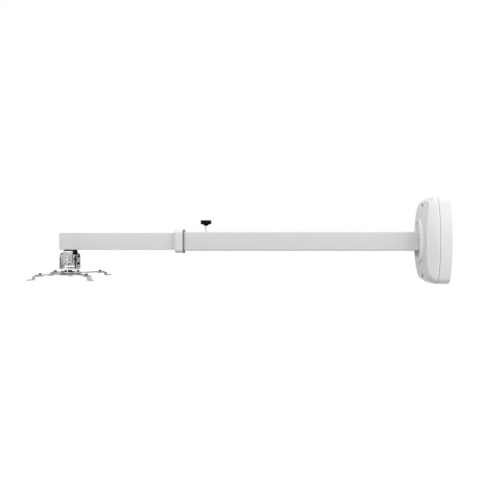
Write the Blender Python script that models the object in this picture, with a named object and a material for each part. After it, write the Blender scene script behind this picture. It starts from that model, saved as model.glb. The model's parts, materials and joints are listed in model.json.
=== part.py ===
"""Telescopic wall arm for a short-throw projector.

The wall is the plane X = 0, the arm runs towards -X, Z is up, and the origin
lies on the wall plate's back face, level with the arm's axis.
"""
import math

import bpy
import bmesh
from mathutils import Matrix, Vector

MM = 0.001
DEG = math.pi / 180

# Gap left between pieces that touch, and running clearance round a shank
GAP = 0.3 * MM
RUN = 0.3 * MM
# How far a cutter runs past the face it cuts
OVERRUN = 5 * MM

# Plastic wall cover: bowed outline, seam, front face and oval rim round the arm
COVER_MID_W = 65 * MM
COVER_BOW = 20 * MM
COVER_HALF_H = 137 * MM
COVER_CORNER = 24 * MM
COVER_WALL = 2.5 * MM
COVER_BACK = 0.5 * MM
SEAM_DEPTH = 37 * MM
SEAM_GAP = 1.1 * MM
SEAM_CHAMFER = 0.8 * MM
TONGUE_RUN = 4 * MM
TONGUE_T = 1.0 * MM
FACE_DEPTH = 78 * MM
FACE_DOME = 3 * MM
FACE_ARCH = 17 * MM
FACE_BOW = 7 * MM
FACE_DRAFT = 11 * MM
FACE_FILLET = 4 * MM
RIM_HALF_W = 27 * MM
RIM_HALF_H = 67 * MM
RIM_PROUD = 8.5 * MM
RIM_BAND = 3 * MM
RIM_FLANK = 2 * MM
FLOOR_PROUD = 1 * MM
ARM_CLEAR = 0.6 * MM
COVER_SCREW_END = 25 * MM
COVER_CUP_DEPTH = 5.5 * MM
COVER_CUP_FLOOR = 2.5 * MM
COVER_CUP_WALL = 2 * MM
COVER_SCREW_HEAD_R = 4 * MM
COVER_SCREW_HEAD_H = 3 * MM
COVER_SCREW_R = 2 * MM
COVER_SCREW_LENGTH = 12 * MM
COVER_SOCKET_R = 1.6 * MM
STANDOFF_R = 5 * MM
# Shares of the front shell's depth at which its drafted side has a ring
SIDE_SHARES = (0.4, 0.75, 1.0)
FILLET_STEPS = 3

# Wall plate, inset from the cover's ends, with its slots inset from its own ends
PLATE_T = 3 * MM
PLATE_HALF_W = 38 * MM
PLATE_INSET = 11 * MM
PLATE_CORNER = 10 * MM
PLATE_RISE = 3 * MM
WALL_SLOT_Y = 24 * MM
WALL_SLOT_END = 26 * MM
WALL_SLOT_R = 3.75 * MM
WALL_SLOT_RUN = 10 * MM

# Arm flange and its bolts
FLANGE_T = 5 * MM
FLANGE_HALF_W = 40 * MM
FLANGE_HALF_H = 52 * MM
FLANGE_CORNER = 6 * MM
FLANGE_BOLT_Y = 31 * MM
FLANGE_BOLT_Z = 42 * MM
FLANGE_BOLT_R = 4 * MM
FLANGE_BOLT_AF = 13 * MM
FLANGE_BOLT_H = 5.3 * MM

# Outer tube, end collar and gasket
OUTER_H = 60 * MM
OUTER_W = 40 * MM
OUTER_WALL = 2.5 * MM
OUTER_CORNER = 4 * MM
OUTER_END = 853 * MM
COLLAR_LENGTH = 26 * MM
COLLAR_LIP = 6 * MM
COLLAR_WALL = 6.5 * MM
COLLAR_CORNER = 11 * MM
COLLAR_CHAMFER = 1.5 * MM
GASKET_T = 1.6 * MM
GASKET_PROUD = 1 * MM

# Inner tube and its end cap
SLIDE_CLEAR = 0.5 * MM
INNER_WALL = 2 * MM
INNER_LENGTH = 775 * MM
ARM_REACH = 1227.5 * MM
CAP_T = 8 * MM
CAP_PLUG = 8 * MM
CAP_PLUG_WALL = 2 * MM
CAP_ROUND = 4 * MM
CAP_ROUND_STEPS = 3

# Clamp knob on the outer tube
CLAMP_X = 762 * MM
CLAMP_STUD_R = 3 * MM
CLAMP_HUB_LOW = 19 * MM
CLAMP_HUB_H = 6 * MM
CLAMP_WING_H = 12 * MM
CLAMP_SPAN = 34 * MM
CLAMP_HUB_R = 8.5 * MM
CLAMP_NECK_R = 4.5 * MM
CLAMP_EDGE = 1.5 * MM
STUD_IN_KNOB = 12 * MM
STUD_BEVEL = 0.8 * MM

# Tilting head, set back from the arm's end, all heights measured down from under its disc
HEAD_BACK = 29.9 * MM
BACKING_T = 4 * MM
BACKING_HALF_L = 24 * MM
BACKING_CORNER = 2 * MM
DISC_T = 2 * MM
DISC_R = 20 * MM
SWIVEL_R = 5 * MM
SWIVEL_HEAD_AF = 15 * MM
SWIVEL_HEAD_H = 6 * MM
SHEET_T = 2.5 * MM
SHEET_BEND = 4 * MM
YOKE_HALF_W = 22 * MM
YOKE_HALF_L = 14.25 * MM
YOKE_DROP = 48.4 * MM
PITCH_DROP = 25.4 * MM
PITCH_LOCK_R = 17.5 * MM
PITCH_RANGE = 12 * DEG
PITCH_SLOT_HALF = 24 * DEG
ROLL_DROP = 16.8 * MM
ROLL_LOCK_R = 24.5 * MM
ROLL_RANGE = 12 * DEG
SLOT_MARGIN = 2 * DEG
PIVOT_R = 3 * MM
PIVOT_HEAD_R = 8 * MM
PIVOT_HEAD_H = 3.5 * MM
PIVOT_SOCKET_R = 2.5 * MM
ROLL_HEAD_R = 5.1 * MM
LOCK_R = 2.4 * MM
LOCK_HEAD_R = 3.6 * MM
LOCK_HEAD_H = 3.6 * MM
LOCK_SOCKET_R = 1.8 * MM
FRAME_TOP_DROP = 12.4 * MM
FRAME_BOTTOM_DROP = 47.4 * MM
FRAME_CORNER = 3.5 * MM
CRADLE_T = 2.7 * MM
CRADLE_HALF_L = 27 * MM
CRADLE_HALF_W = 18.5 * MM
CRADLE_TOP_DROP = 7.4 * MM
CRADLE_DROP = 61.4 * MM
CRADLE_LIP_H = 6 * MM
CRADLE_LIP_T = 2 * MM
LIP_CORNER = 1 * MM

# Fine adjuster in front of the cradle's right wall
SCREW_X = 27.5 * MM
SCREW_Y = 30 * MM
SCREW_R = 2.3 * MM
SCREW_BEVEL = 0.6 * MM
EAR_HALF_L = 6 * MM
EAR_REACH = 6 * MM
EAR_T = 2.3 * MM
EAR_CORNER = 2 * MM
EAR_ROOT_CLEAR = 1.3 * MM
EAR_ROOT_CORNER = 1 * MM
EAR_TOP_DROP = 12.9 * MM
EAR_LOW_DROP = 51 * MM
KNOB_R = 6.6 * MM
KNOB_H = 14.5 * MM
KNOB_EDGE = 1.2 * MM
FLUTES = 12
FLUTE_DEPTH = 0.25 * MM
SCREW_IN_KNOB = 8 * MM
SCREW_TAIL = 3 * MM
TRAVELLER_HALF = 4 * MM
TRAVELLER_CORNER = 1 * MM
TRAVELLER_DROP = 26 * MM
FINGER_T = 2 * MM
FINGER_PAST = 3.2 * MM
FINGER_CORNER = 0.6 * MM
FINGER_SLOT = 4.6 * MM
GROOVE_CORNER = 0.4 * MM

# Hub and its screws
SPACER_R = 6.5 * MM
SPACER_T = 6 * MM
HUB_TOP_R = 33.5 * MM
HUB_LOW_R = 36 * MM
HUB_T = 3 * MM
HUB_EDGE = 0.4 * MM
HUB_BOLT_R = 4 * MM
HUB_BOLT_AF = 13 * MM
HUB_BOLT_H = 5.3 * MM
HUB_NUT_H = 5 * MM
ARM_PIVOT_RADIUS = 28 * MM
ARM_PIVOT_R = 2.5 * MM
ARM_PIVOT_HEAD_R = 4.5 * MM
ARM_PIVOT_HEAD_H = 3.2 * MM
ARM_SOCKET_R = 2 * MM

# Spider arms and feet: name, direction from the hub, radius at which the foot bends down
ARM_W = 15 * MM
ARM_T = 3 * MM
ARMS = (
    ("front_left", -126.4 * DEG, 122.5 * MM),
    ("back_right", 49.0 * DEG, 129.5 * MM),
    ("front_right", -49.2 * DEG, 149 * MM),
    ("back_left", 139.8 * DEG, 112 * MM),
)
FOOT_SCREW_BACK = 20 * MM
FOOT_SCREW_R = 2.4 * MM
FOOT_SCREW_HEAD_R = 4 * MM
FOOT_SCREW_HEAD_H = 4 * MM
FOOT_SOCKET_R = 1.8 * MM
FOOT_HEEL = 9 * MM
FOOT_SLIDE_IN = 22 * MM
FOOT_SLIDE_OUT = 8 * MM
ARM_SLOT_MARGIN = 5 * MM
FOOT_T = 2.2 * MM
FOOT_BEND = 3.2 * MM
FOOT_DROP = 9.5 * MM
FOOT_SLANT = 2 * MM
FOOT_TOE = 21 * MM
FOOT_W = 14 * MM
FOOT_HOLE_R = 2.3 * MM
FOOT_HOLE_BACK = 6.5 * MM

# Screw heads: edge bevel, and where a socket's floor lies as a share of the head's height
HEAD_BEVEL = 0.5 * MM
SOCKET_FLOOR = 0.4

# Facets: points round a turned piece and a hole, and steps in a corner, a bend and a slot's end
ROUND = 18
HOLE_ROUND = 12
CORNER_STEPS = 3
BEND_STEPS = 3
ARC_STEPS = 6
SIDE_STEPS = 6
END_STEPS = 3

# Heights and places that follow from the sizes above
PLATE_HALF_H = COVER_HALF_H - PLATE_INSET
WALL_SLOT_Z = PLATE_HALF_H - WALL_SLOT_END
COVER_SCREW_Z = COVER_HALF_H - COVER_SCREW_END
HEAD_X = ARM_REACH - HEAD_BACK
INNER_H = OUTER_H - 2 * OUTER_WALL - 2 * SLIDE_CLEAR
INNER_W = OUTER_W - 2 * OUTER_WALL - 2 * SLIDE_CLEAR
TUBE_FLOOR = -INNER_H / 2
DISC_Z = TUBE_FLOOR - GAP - DISC_T
YOKE_Z = DISC_Z - GAP
PITCH_Z = YOKE_Z - PITCH_DROP
ROLL_Z = YOKE_Z - ROLL_DROP
CRADLE_Z = YOKE_Z - CRADLE_DROP
SPACER_Z = CRADLE_Z - GAP - SPACER_T
HUB_TOP_Z = SPACER_Z - GAP - HUB_T
ARM_Z = HUB_TOP_Z - GAP - ARM_T
HUB_LOW_Z = ARM_Z - GAP - HUB_T
FOOT_Z = ARM_Z - GAP - FOOT_T
FRAME_HALF_L = CRADLE_HALF_L - CRADLE_T - GAP
FRAME_HALF_W = YOKE_HALF_W - SHEET_T - GAP
FINGER_REACH = SCREW_Y + FINGER_PAST - FRAME_HALF_W
SCREW_AT = Vector((SCREW_X - HEAD_X, -SCREW_Y, 0))
EAR_TOP_Z = YOKE_Z - EAR_TOP_DROP
EAR_LOW_Z = YOKE_Z - EAR_LOW_DROP
TRAVELLER_Z = YOKE_Z - TRAVELLER_DROP
HEAD_CENTRE = Vector((-HEAD_X, 0, 0))


def finish(name, colour, roughness, metallic=0.0):
    """A plain surface finish."""
    material = bpy.data.materials.new(name)
    material.use_nodes = True
    shader = material.node_tree.nodes["Principled BSDF"]
    shader.inputs["Base Color"].default_value = (*colour, 1.0)
    shader.inputs["Roughness"].default_value = roughness
    shader.inputs["Metallic"].default_value = metallic
    material.diffuse_color = (*colour, 1.0)
    return material


def pivot(name, place, parent=None, turn=0.0):
    """An empty on a joint's axis, at a world place, that carries one moving body."""
    empty = bpy.data.objects.new(name, None)
    empty.empty_display_size = 20 * MM
    bpy.context.scene.collection.objects.link(empty)
    world = Matrix.Translation(place) @ Matrix.Rotation(turn, 4, "Z")
    if parent is not None:
        empty.parent = parent
        bpy.context.view_layer.update()
        empty.matrix_local = parent.matrix_world.inverted() @ world
    else:
        empty.matrix_local = world
    bpy.context.view_layer.update()
    return empty


def solid(name, vertices, faces, carrier, material=None, local=False):
    """A closed mesh whose vertices are world points, or points in its carrier's own frame."""
    mesh = bpy.data.meshes.new(name)
    mesh.from_pydata([tuple(v) for v in vertices], [], faces)
    if carrier is not None and not local:
        mesh.transform(carrier.matrix_world.inverted())
    work = bmesh.new()
    work.from_mesh(mesh)
    bmesh.ops.recalc_face_normals(work, faces=work.faces)
    work.to_mesh(mesh)
    work.free()
    mesh.shade_smooth()
    mesh.set_sharp_from_angle(angle=32 * DEG)
    piece = bpy.data.objects.new(name, mesh)
    bpy.context.scene.collection.objects.link(piece)
    piece.parent = carrier
    if material is not None:
        mesh.materials.append(material)
    return piece


def loft(name, rings, carrier, material=None, hollow=False, local=False):
    """Rings of equally many points joined in order, capped, or closed on themselves if hollow."""
    count = len(rings[0])
    vertices = [point for ring in rings for point in ring]
    spans = len(rings) if hollow else len(rings) - 1
    faces = []
    for row in range(spans):
        this = row * count
        following = (row + 1) % len(rings) * count
        for step in range(count):
            ahead = (step + 1) % count
            faces.append((this + step, this + ahead, following + ahead, following + step))
    if not hollow:
        faces.append(tuple(range(count)))
        faces.append(tuple(range(spans * count, len(vertices))))
    return solid(name, vertices, faces, carrier, material, local)


PLANES = {
    "XY": lambda u, v, w: Vector((u, v, w)),
    "XZ": lambda u, v, w: Vector((u, w, v)),
    "YZ": lambda u, v, w: Vector((w, u, v)),
}


def prism(name, outline, plane, low, high, carrier, material=None, centre=(0, 0), local=False):
    """An outline in a plane, extruded square to it from low to high."""
    place = PLANES[plane]
    rings = [[place(u + centre[0], v + centre[1], w) for u, v in outline] for w in (low, high)]
    return loft(name, rings, carrier, material, local=local)


def framed(name, outer, inner, plane, low, high, carrier, material=None, centre=(0, 0)):
    """A frame or tube between two outlines of equally many points."""
    place = PLANES[plane]

    def ring(outline, w):
        return [place(u + centre[0], v + centre[1], w) for u, v in outline]

    rings = [ring(outer, low), ring(outer, high), ring(inner, high), ring(inner, low)]
    return loft(name, rings, carrier, material, hollow=True)


def turned(name, profile, seat, axis, carrier, material=None, hollow=False, count=ROUND, local=False):
    """A profile of (radius or radius by angle, height) turned about an axis through seat."""
    lift = Vector((0, 0, 1)).rotation_difference(Vector(axis)).to_matrix()
    rings = []
    for radius, height in profile:
        ring = []
        for step in range(count):
            angle = 2 * math.pi * step / count
            reach = radius(angle) if callable(radius) else radius
            ring.append(Vector(seat) + lift @ Vector((reach * math.cos(angle), reach * math.sin(angle), height)))
        rings.append(ring)
    return loft(name, rings, carrier, material, hollow, local)


def hexagon(across):
    """Radius by angle of a hexagon of this width across flats."""
    return lambda angle: across / 2 / math.cos(angle % (math.pi / 3) - math.pi / 6)


def rounded_box(half_u, half_v, corner):
    """Rectangle with round corners."""
    points = []
    for quadrant, (side_u, side_v) in enumerate(((1, 1), (-1, 1), (-1, -1), (1, -1))):
        for step in range(CORNER_STEPS + 1):
            angle = (quadrant + step / CORNER_STEPS) * math.pi / 2
            points.append((side_u * (half_u - corner) + corner * math.cos(angle),
                           side_v * (half_v - corner) + corner * math.sin(angle)))
    return points


def slot_outline(start, end, radius):
    """A straight slot along u between two centres, with round ends."""
    points = [(end + radius * math.cos(a), radius * math.sin(a)) for a in half_turn(-math.pi / 2)]
    points += [(start + radius * math.cos(a), radius * math.sin(a)) for a in half_turn(math.pi / 2)]
    return points


def half_turn(start):
    return [start + math.pi * step / ARC_STEPS for step in range(ARC_STEPS + 1)]


def arc_slot(radius, half_width, half_angle):
    """A slot bent round the origin, its middle straight down, with round ends."""
    down = -math.pi / 2
    sweep = [down - half_angle + 2 * half_angle * k / ARC_STEPS for k in range(ARC_STEPS + 1)]
    points = [((radius + half_width) * math.cos(a), (radius + half_width) * math.sin(a)) for a in sweep]
    for turn in range(1, ARC_STEPS):
        angle = sweep[-1] + math.pi * turn / ARC_STEPS
        points.append((radius * math.cos(sweep[-1]) + half_width * math.cos(angle),
                       radius * math.sin(sweep[-1]) + half_width * math.sin(angle)))
    points += [((radius - half_width) * math.cos(a), (radius - half_width) * math.sin(a))
               for a in reversed(sweep)]
    for turn in range(1, ARC_STEPS):
        angle = sweep[0] + math.pi + math.pi * turn / ARC_STEPS
        points.append((radius * math.cos(sweep[0]) + half_width * math.cos(angle),
                       radius * math.sin(sweep[0]) + half_width * math.sin(angle)))
    return points


def rounded_path(corners, radius):
    """A path whose inner corners are replaced by arcs of one radius."""
    path = [Vector(corners[0])]
    for before, corner, after in zip(corners, corners[1:], corners[2:]):
        corner = Vector(corner)
        back = (Vector(before) - corner).normalized()
        ahead = (Vector(after) - corner).normalized()
        half = back.angle(ahead) / 2
        centre = corner + (back + ahead).normalized() * radius / math.sin(half)
        start = corner + back * radius / math.tan(half) - centre
        end = corner + ahead * radius / math.tan(half) - centre
        sweep = start.angle_signed(end)
        for step in range(BEND_STEPS + 1):
            arm = start.copy()
            arm.rotate(Matrix.Rotation(-sweep * step / BEND_STEPS, 2))
            path.append(centre + arm)
    path.append(Vector(corners[-1]))
    return path


def sheet_outline(corners, thickness, radius):
    """Edge view of a folded sheet whose middle follows the corners, bent at one radius."""
    path = rounded_path(corners, radius)
    left = []
    right = []
    for index, point in enumerate(path):
        ahead = path[min(index + 1, len(path) - 1)]
        behind = path[max(index - 1, 0)]
        run = (ahead - behind).normalized()
        side = Vector((-run.y, run.x)) * thickness / 2
        left.append(tuple(point + side))
        right.append(tuple(point - side))
    return left + right[::-1]


def boolean(piece, tool, operation):
    """Keep, add or take away a tool's volume; the tool is no piece of its own."""
    tool.hide_render = True
    tool.display_type = "WIRE"
    modifier = piece.modifiers.new(tool.name, "BOOLEAN")
    modifier.operation = operation
    modifier.solver = "EXACT"
    modifier.object = tool


def cut(piece, tool):
    boolean(piece, tool, "DIFFERENCE")


def bore(piece, name, radius, centre, axis, low, high, carrier, local=False, count=HOLE_ROUND):
    """A round hole along an axis, from low to high past a centre point."""
    tool = turned(name, [(radius, low), (radius, high)], centre, axis, carrier, count=count, local=local)
    cut(piece, tool)


def screw(name, seat, axis, shank_r, length, head, head_h, carrier, material, socket_r=0.0, local=False,
          count=HOLE_ROUND):
    """A screw whose head sits on seat; the head is a radius, or a function for a hexagon."""
    profile = [(shank_r, -length), (shank_r, 0), (head, 0), (head, head_h - HEAD_BEVEL)]
    if callable(head):
        profile += [(head(math.pi / 6), head_h)]
    else:
        profile += [(head - HEAD_BEVEL, head_h)]
    if socket_r:
        well = hexagon(2 * socket_r)
        profile += [(well, head_h), (well, head_h * SOCKET_FLOOR)]
    return turned(name, profile, seat, axis, carrier, material, count=count, local=local)


def nut(name, seat, axis, across, height, hole_r, carrier, material):
    """A hexagon nut that stands on seat."""
    body = hexagon(across)
    profile = [(body, 0), (body, height), (hole_r, height), (hole_r, 0)]
    return turned(name, profile, seat, axis, carrier, material, hollow=True)


def barrel_outline(inset, face=0.0):
    """Cover outline moved inwards: bowed sides, straight ends and round corners.

    The sides bow less, and the corners stay rounder, as face goes from 0 at the seam to 1.
    """
    half_height = COVER_HALF_H - inset
    bow = COVER_BOW + (FACE_BOW - COVER_BOW) * face
    corner = max(COVER_CORNER - inset * (1 - face), COVER_WALL)

    def width(z):
        return COVER_MID_W - inset - bow * (z / COVER_HALF_H) ** 2

    lean = math.atan(2 * bow / COVER_HALF_H)
    reach = half_height - corner * (1 - math.sin(lean))
    centre_y = width(reach) - corner * math.cos(lean)
    centre_z = reach - corner * math.sin(lean)
    quarter = [(width(reach * k / SIDE_STEPS), reach * k / SIDE_STEPS) for k in range(SIDE_STEPS)]
    for step in range(CORNER_STEPS + 1):
        angle = lean + (math.pi / 2 - lean) * step / CORNER_STEPS
        quarter.append((centre_y + corner * math.cos(angle), centre_z + corner * math.sin(angle)))
    quarter += [(centre_y * (1 - k / END_STEPS), half_height) for k in range(1, END_STEPS + 1)]
    points = quarter[:-1]
    points += [(-y, z) for y, z in quarter[:0:-1]]
    points += [(-y, -z) for y, z in quarter[:-1]]
    points += [(y, -z) for y, z in quarter[:0:-1]]
    return points


def face_x(y, z):
    """Front face of the cover, domed across and arched back towards its ends."""
    half = COVER_MID_W - FACE_DRAFT
    return -FACE_DEPTH + FACE_DOME * (y / half) ** 2 + FACE_ARCH * abs(z / COVER_HALF_H) ** 3


def cover_ring(points, x):
    """Points (y, z) about the cover's middle, lifted to x, which may follow y and z."""
    return [Vector((x(y, z) if callable(x) else x, y, z + PLATE_RISE)) for y, z in points]


def blended(first, second, share):
    return [(a + (c - a) * share, b + (d - b) * share) for (a, b), (c, d) in zip(first, second)]


def oval(half_w, half_h):
    """An ellipse about the arm, with the points of the cover's outline in order."""
    angles = [math.atan2(z / COVER_HALF_H, y / COVER_MID_W) for y, z in barrel_outline(0)]
    return [(half_w * math.cos(a), half_h * math.sin(a) - PLATE_RISE) for a in angles]


def wall_plate(fixed, steel):
    outline = rounded_box(PLATE_HALF_W, PLATE_HALF_H, PLATE_CORNER)
    plate = prism("wall_plate", outline, "YZ", -PLATE_T, 0, fixed, steel, centre=(0, PLATE_RISE))
    for side_y in (-1, 1):
        for side_z in (-1, 1):
            upright = [(v, u) for u, v in slot_outline(-WALL_SLOT_RUN / 2, WALL_SLOT_RUN / 2, WALL_SLOT_R)]
            middle = (side_y * WALL_SLOT_Y, side_z * WALL_SLOT_Z + PLATE_RISE)
            tool = prism("cut_wall_slot", upright, "YZ", -PLATE_T - OVERRUN, OVERRUN, fixed, centre=middle)
            cut(plate, tool)
            seat = (0, side_y * FLANGE_BOLT_Y, side_z * FLANGE_BOLT_Z)
            bore(plate, "cut_plate_thread", FLANGE_BOLT_R + RUN, seat, (-1, 0, 0), -OVERRUN,
                 PLATE_T + OVERRUN, fixed)


def rear_cover(fixed, plastic):
    """A ring against the wall with a tongue that enters the front cover."""
    seam = -SEAM_DEPTH + SEAM_GAP / 2
    tongue_in = COVER_WALL - TONGUE_T
    rings = [
        cover_ring(barrel_outline(COVER_WALL), -COVER_BACK),
        cover_ring(barrel_outline(SEAM_CHAMFER), -COVER_BACK),
        cover_ring(barrel_outline(0), -COVER_BACK - SEAM_CHAMFER),
        cover_ring(barrel_outline(0), seam + SEAM_CHAMFER),
        cover_ring(barrel_outline(SEAM_CHAMFER), seam),
        cover_ring(barrel_outline(tongue_in), seam),
        cover_ring(barrel_outline(tongue_in), seam - TONGUE_RUN),
        cover_ring(barrel_outline(COVER_WALL), seam - TONGUE_RUN),
    ]
    loft("rear_cover", rings, fixed, plastic, hollow=True)


def front_cover(fixed, plastic):
    """One moulded shell: drafted side, domed face, oval rim and the opening for the arm."""
    seam = -SEAM_DEPTH - SEAM_GAP / 2
    rebate_in = COVER_WALL - TONGUE_T - GAP
    rebate_x = seam + SEAM_GAP - TONGUE_RUN - GAP
    fillet_in = FACE_DRAFT + FACE_FILLET
    outer = [cover_ring(barrel_outline(SEAM_CHAMFER), seam), cover_ring(barrel_outline(0), seam - SEAM_CHAMFER)]
    inner = [cover_ring(barrel_outline(rebate_in), seam), cover_ring(barrel_outline(rebate_in), rebate_x),
             cover_ring(barrel_outline(COVER_WALL), rebate_x)]
    for share in SIDE_SHARES:
        lean = share ** 1.5
        inset = FACE_DRAFT * lean

        def side(y, z, share=share, start=seam - SEAM_CHAMFER):
            return start + (face_x(y, z) + FACE_FILLET - start) * share

        outer.append(cover_ring(barrel_outline(inset, lean), side))
        inner.append(cover_ring(barrel_outline(inset + COVER_WALL, lean), side))
    for step in range(1, FILLET_STEPS + 1):
        angle = step / FILLET_STEPS * math.pi / 2
        inset = FACE_DRAFT + FACE_FILLET * (1 - math.cos(angle))

        def fillet(y, z, sine=math.sin(angle)):
            return face_x(y, z) + FACE_FILLET * (1 - sine)

        outer.append(cover_ring(barrel_outline(inset, 1), fillet))
    rim_base = oval(RIM_HALF_W + RIM_FLANK, RIM_HALF_H + RIM_FLANK)
    for share in (0.5, 1.0):
        outer.append(cover_ring(blended(barrel_outline(fillet_in, 1), rim_base, share), face_x))

    def behind_face(y, z):
        return face_x(y, z) + COVER_WALL

    for share in (0.0, 0.5, 1.0):
        edge_ring = barrel_outline(fillet_in + COVER_WALL, 1)
        inner.append(cover_ring(blended(edge_ring, rim_base, share), behind_face))

    def rim(lift):
        return lambda y, z: face_x(0, z) - lift

    edge = RIM_BAND / 4
    for inset, lift in ((0, RIM_PROUD - 2 * edge), (edge, RIM_PROUD - edge / 2), (RIM_BAND / 2, RIM_PROUD),
                        (RIM_BAND - edge, RIM_PROUD - edge / 2), (RIM_BAND, RIM_PROUD - 2 * edge),
                        (RIM_BAND + RIM_FLANK / 2, FLOOR_PROUD)):
        outer.append(cover_ring(oval(RIM_HALF_W - inset, RIM_HALF_H - inset), rim(lift)))
    middle = oval(OUTER_W / 4, OUTER_H / 4)
    outer.append(cover_ring(middle, rim(FLOOR_PROUD)))
    inner.append(cover_ring(middle, rim(FLOOR_PROUD - COVER_WALL)))
    cover = loft("front_cover", outer + inner[::-1], fixed, plastic, hollow=True)
    opening = rounded_box(OUTER_W / 2 + ARM_CLEAR, OUTER_H / 2 + ARM_CLEAR, OUTER_CORNER + ARM_CLEAR)
    cut(cover, prism("cut_arm_opening", opening, "YZ", -FACE_DEPTH - OVERRUN, -SEAM_DEPTH, fixed))
    for side in (1, -1):
        z = side * COVER_SCREW_Z
        seat = Vector((cup_floor_x(), 0, z + PLATE_RISE))
        well_r = COVER_SCREW_HEAD_R + 2 * GAP
        cup = turned("add_screw_cup", [(well_r + COVER_CUP_WALL, -COVER_CUP_FLOOR),
                                       (well_r + COVER_CUP_WALL, COVER_CUP_DEPTH - COVER_WALL)],
                     seat, (-1, 0, 0), fixed)
        boolean(cover, cup, "UNION")
        bore(cover, "cut_screw_well", well_r, seat, (-1, 0, 0), 0, COVER_CUP_DEPTH + OVERRUN, fixed)
        bore(cover, "cut_screw_hole", COVER_SCREW_R + RUN, seat, (-1, 0, 0), -COVER_CUP_FLOOR - OVERRUN,
             OVERRUN, fixed)


def cup_floor_x():
    """Depth at which a cover screw's head sits."""
    return face_x(0, COVER_SCREW_Z) + COVER_CUP_DEPTH


def cover_screws(fixed, dark, steel):
    for name, side in (("upper", 1), ("lower", -1)):
        z = side * COVER_SCREW_Z + PLATE_RISE
        seat = (cup_floor_x() - GAP, 0, z)
        screw("cover_screw_" + name, seat, (-1, 0, 0), COVER_SCREW_R, COVER_SCREW_LENGTH,
              COVER_SCREW_HEAD_R, COVER_SCREW_HEAD_H, fixed, dark, socket_r=COVER_SOCKET_R)
        foot = -PLATE_T - GAP
        top = cup_floor_x() + COVER_CUP_FLOOR + GAP
        hole = COVER_SCREW_R + RUN
        depth = COVER_SCREW_LENGTH
        turned("cover_standoff_" + name,
               [(STANDOFF_R, 0), (STANDOFF_R, foot - top), (hole, foot - top), (hole, foot - top - depth)],
               (foot, 0, z), (-1, 0, 0), fixed, steel)


def arm_flange(fixed, steel, zinc):
    front = -PLATE_T - GAP - FLANGE_T
    outline = rounded_box(FLANGE_HALF_W, FLANGE_HALF_H, FLANGE_CORNER)
    flange = prism("arm_flange", outline, "YZ", front, front + FLANGE_T, fixed, steel)
    number = 0
    for side_z in (1, -1):
        for side_y in (-1, 1):
            number += 1
            seat = Vector((front - GAP, side_y * FLANGE_BOLT_Y, side_z * FLANGE_BOLT_Z))
            bore(flange, "cut_flange_hole", FLANGE_BOLT_R + RUN, seat, (-1, 0, 0), -FLANGE_T - OVERRUN,
                 OVERRUN, fixed)
            screw(f"flange_bolt_{number}", seat, (-1, 0, 0), FLANGE_BOLT_R, FLANGE_T + PLATE_T,
                  hexagon(FLANGE_BOLT_AF), FLANGE_BOLT_H, fixed, zinc)


def outer_tube(fixed, paint):
    start = -PLATE_T - GAP - FLANGE_T - GAP
    outer = rounded_box(OUTER_W / 2, OUTER_H / 2, OUTER_CORNER)
    inner = rounded_box(OUTER_W / 2 - OUTER_WALL, OUTER_H / 2 - OUTER_WALL, OUTER_CORNER - OUTER_WALL)
    tube = framed("outer_tube", outer, inner, "YZ", -OUTER_END, start, fixed, paint)
    seat = (-CLAMP_X, 0, OUTER_H / 2)
    bore(tube, "cut_clamp_thread", CLAMP_STUD_R + RUN, seat, (0, 0, 1), -OUTER_WALL - OVERRUN, OVERRUN, fixed)


def collar(fixed, plastic, rubber):
    """End collar: a lip that guides the inner tube, and a skirt over the outer tube."""
    lip_x = -OUTER_END - GAP - COLLAR_LIP
    skirt_x = lip_x + COLLAR_LENGTH
    half_w = OUTER_W / 2 + COLLAR_WALL
    half_h = OUTER_H / 2 + COLLAR_WALL
    edge = COLLAR_CHAMFER

    def ring(half_u, half_v, corner, x):
        return [Vector((x, y, z)) for y, z in rounded_box(half_u, half_v, corner)]

    guide = (INNER_W / 2 + RUN, INNER_H / 2 + RUN, OUTER_CORNER - OUTER_WALL)
    seat = (OUTER_W / 2 + GAP, OUTER_H / 2 + GAP, OUTER_CORNER)
    rings = [
        ring(half_w - edge, half_h - edge, COLLAR_CORNER - edge, lip_x),
        ring(half_w, half_h, COLLAR_CORNER, lip_x + edge),
        ring(half_w, half_h, COLLAR_CORNER, skirt_x),
        ring(*seat, skirt_x),
        ring(*seat, lip_x + COLLAR_LIP),
        ring(*guide, lip_x + COLLAR_LIP),
        ring(*guide, lip_x),
    ]
    loft("collar", rings, fixed, plastic, hollow=True)
    gasket_x = skirt_x + GAP
    outer = rounded_box(half_w + GASKET_PROUD, half_h + GASKET_PROUD, COLLAR_CORNER + GASKET_PROUD)
    inner = rounded_box(*seat)
    framed("collar_gasket", outer, inner, "YZ", gasket_x, gasket_x + GASKET_T, fixed, rubber)


def clamp(carrier, plastic, zinc):
    """Winged knob on a threaded stud that presses on the inner tube."""
    low = OUTER_H / 2 + CLAMP_HUB_LOW
    wing_low = low + CLAMP_HUB_H
    top = wing_low + CLAMP_WING_H
    edge = CLAMP_EDGE

    def winged(shrink):
        span = CLAMP_SPAN / 2 - CLAMP_HUB_R

        def radius(angle):
            return CLAMP_HUB_R - shrink + span * math.cos(angle) ** 6

        return radius

    stud_top = low + STUD_IN_KNOB
    centre = (-CLAMP_X, 0, 0)
    hole = CLAMP_STUD_R + RUN
    profile = [(hole, stud_top + GAP), (hole, low), (CLAMP_NECK_R, low), (CLAMP_HUB_R - edge, wing_low - edge),
               (winged(edge), wing_low), (winged(0), wing_low + edge), (winged(0), top - 2 * edge),
               (winged(edge), top - edge / 2), (winged(2 * edge), top)]
    turned("clamp_knob", profile, centre, (0, 0, 1), carrier, plastic, count=2 * ROUND)
    tip = INNER_H / 2 + GAP
    bevelled = CLAMP_STUD_R - STUD_BEVEL
    profile = [(bevelled, tip), (CLAMP_STUD_R, tip + STUD_BEVEL), (CLAMP_STUD_R, stud_top - STUD_BEVEL),
               (bevelled, stud_top)]
    turned("clamp_stud", profile, centre, (0, 0, 1), carrier, zinc)


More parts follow.
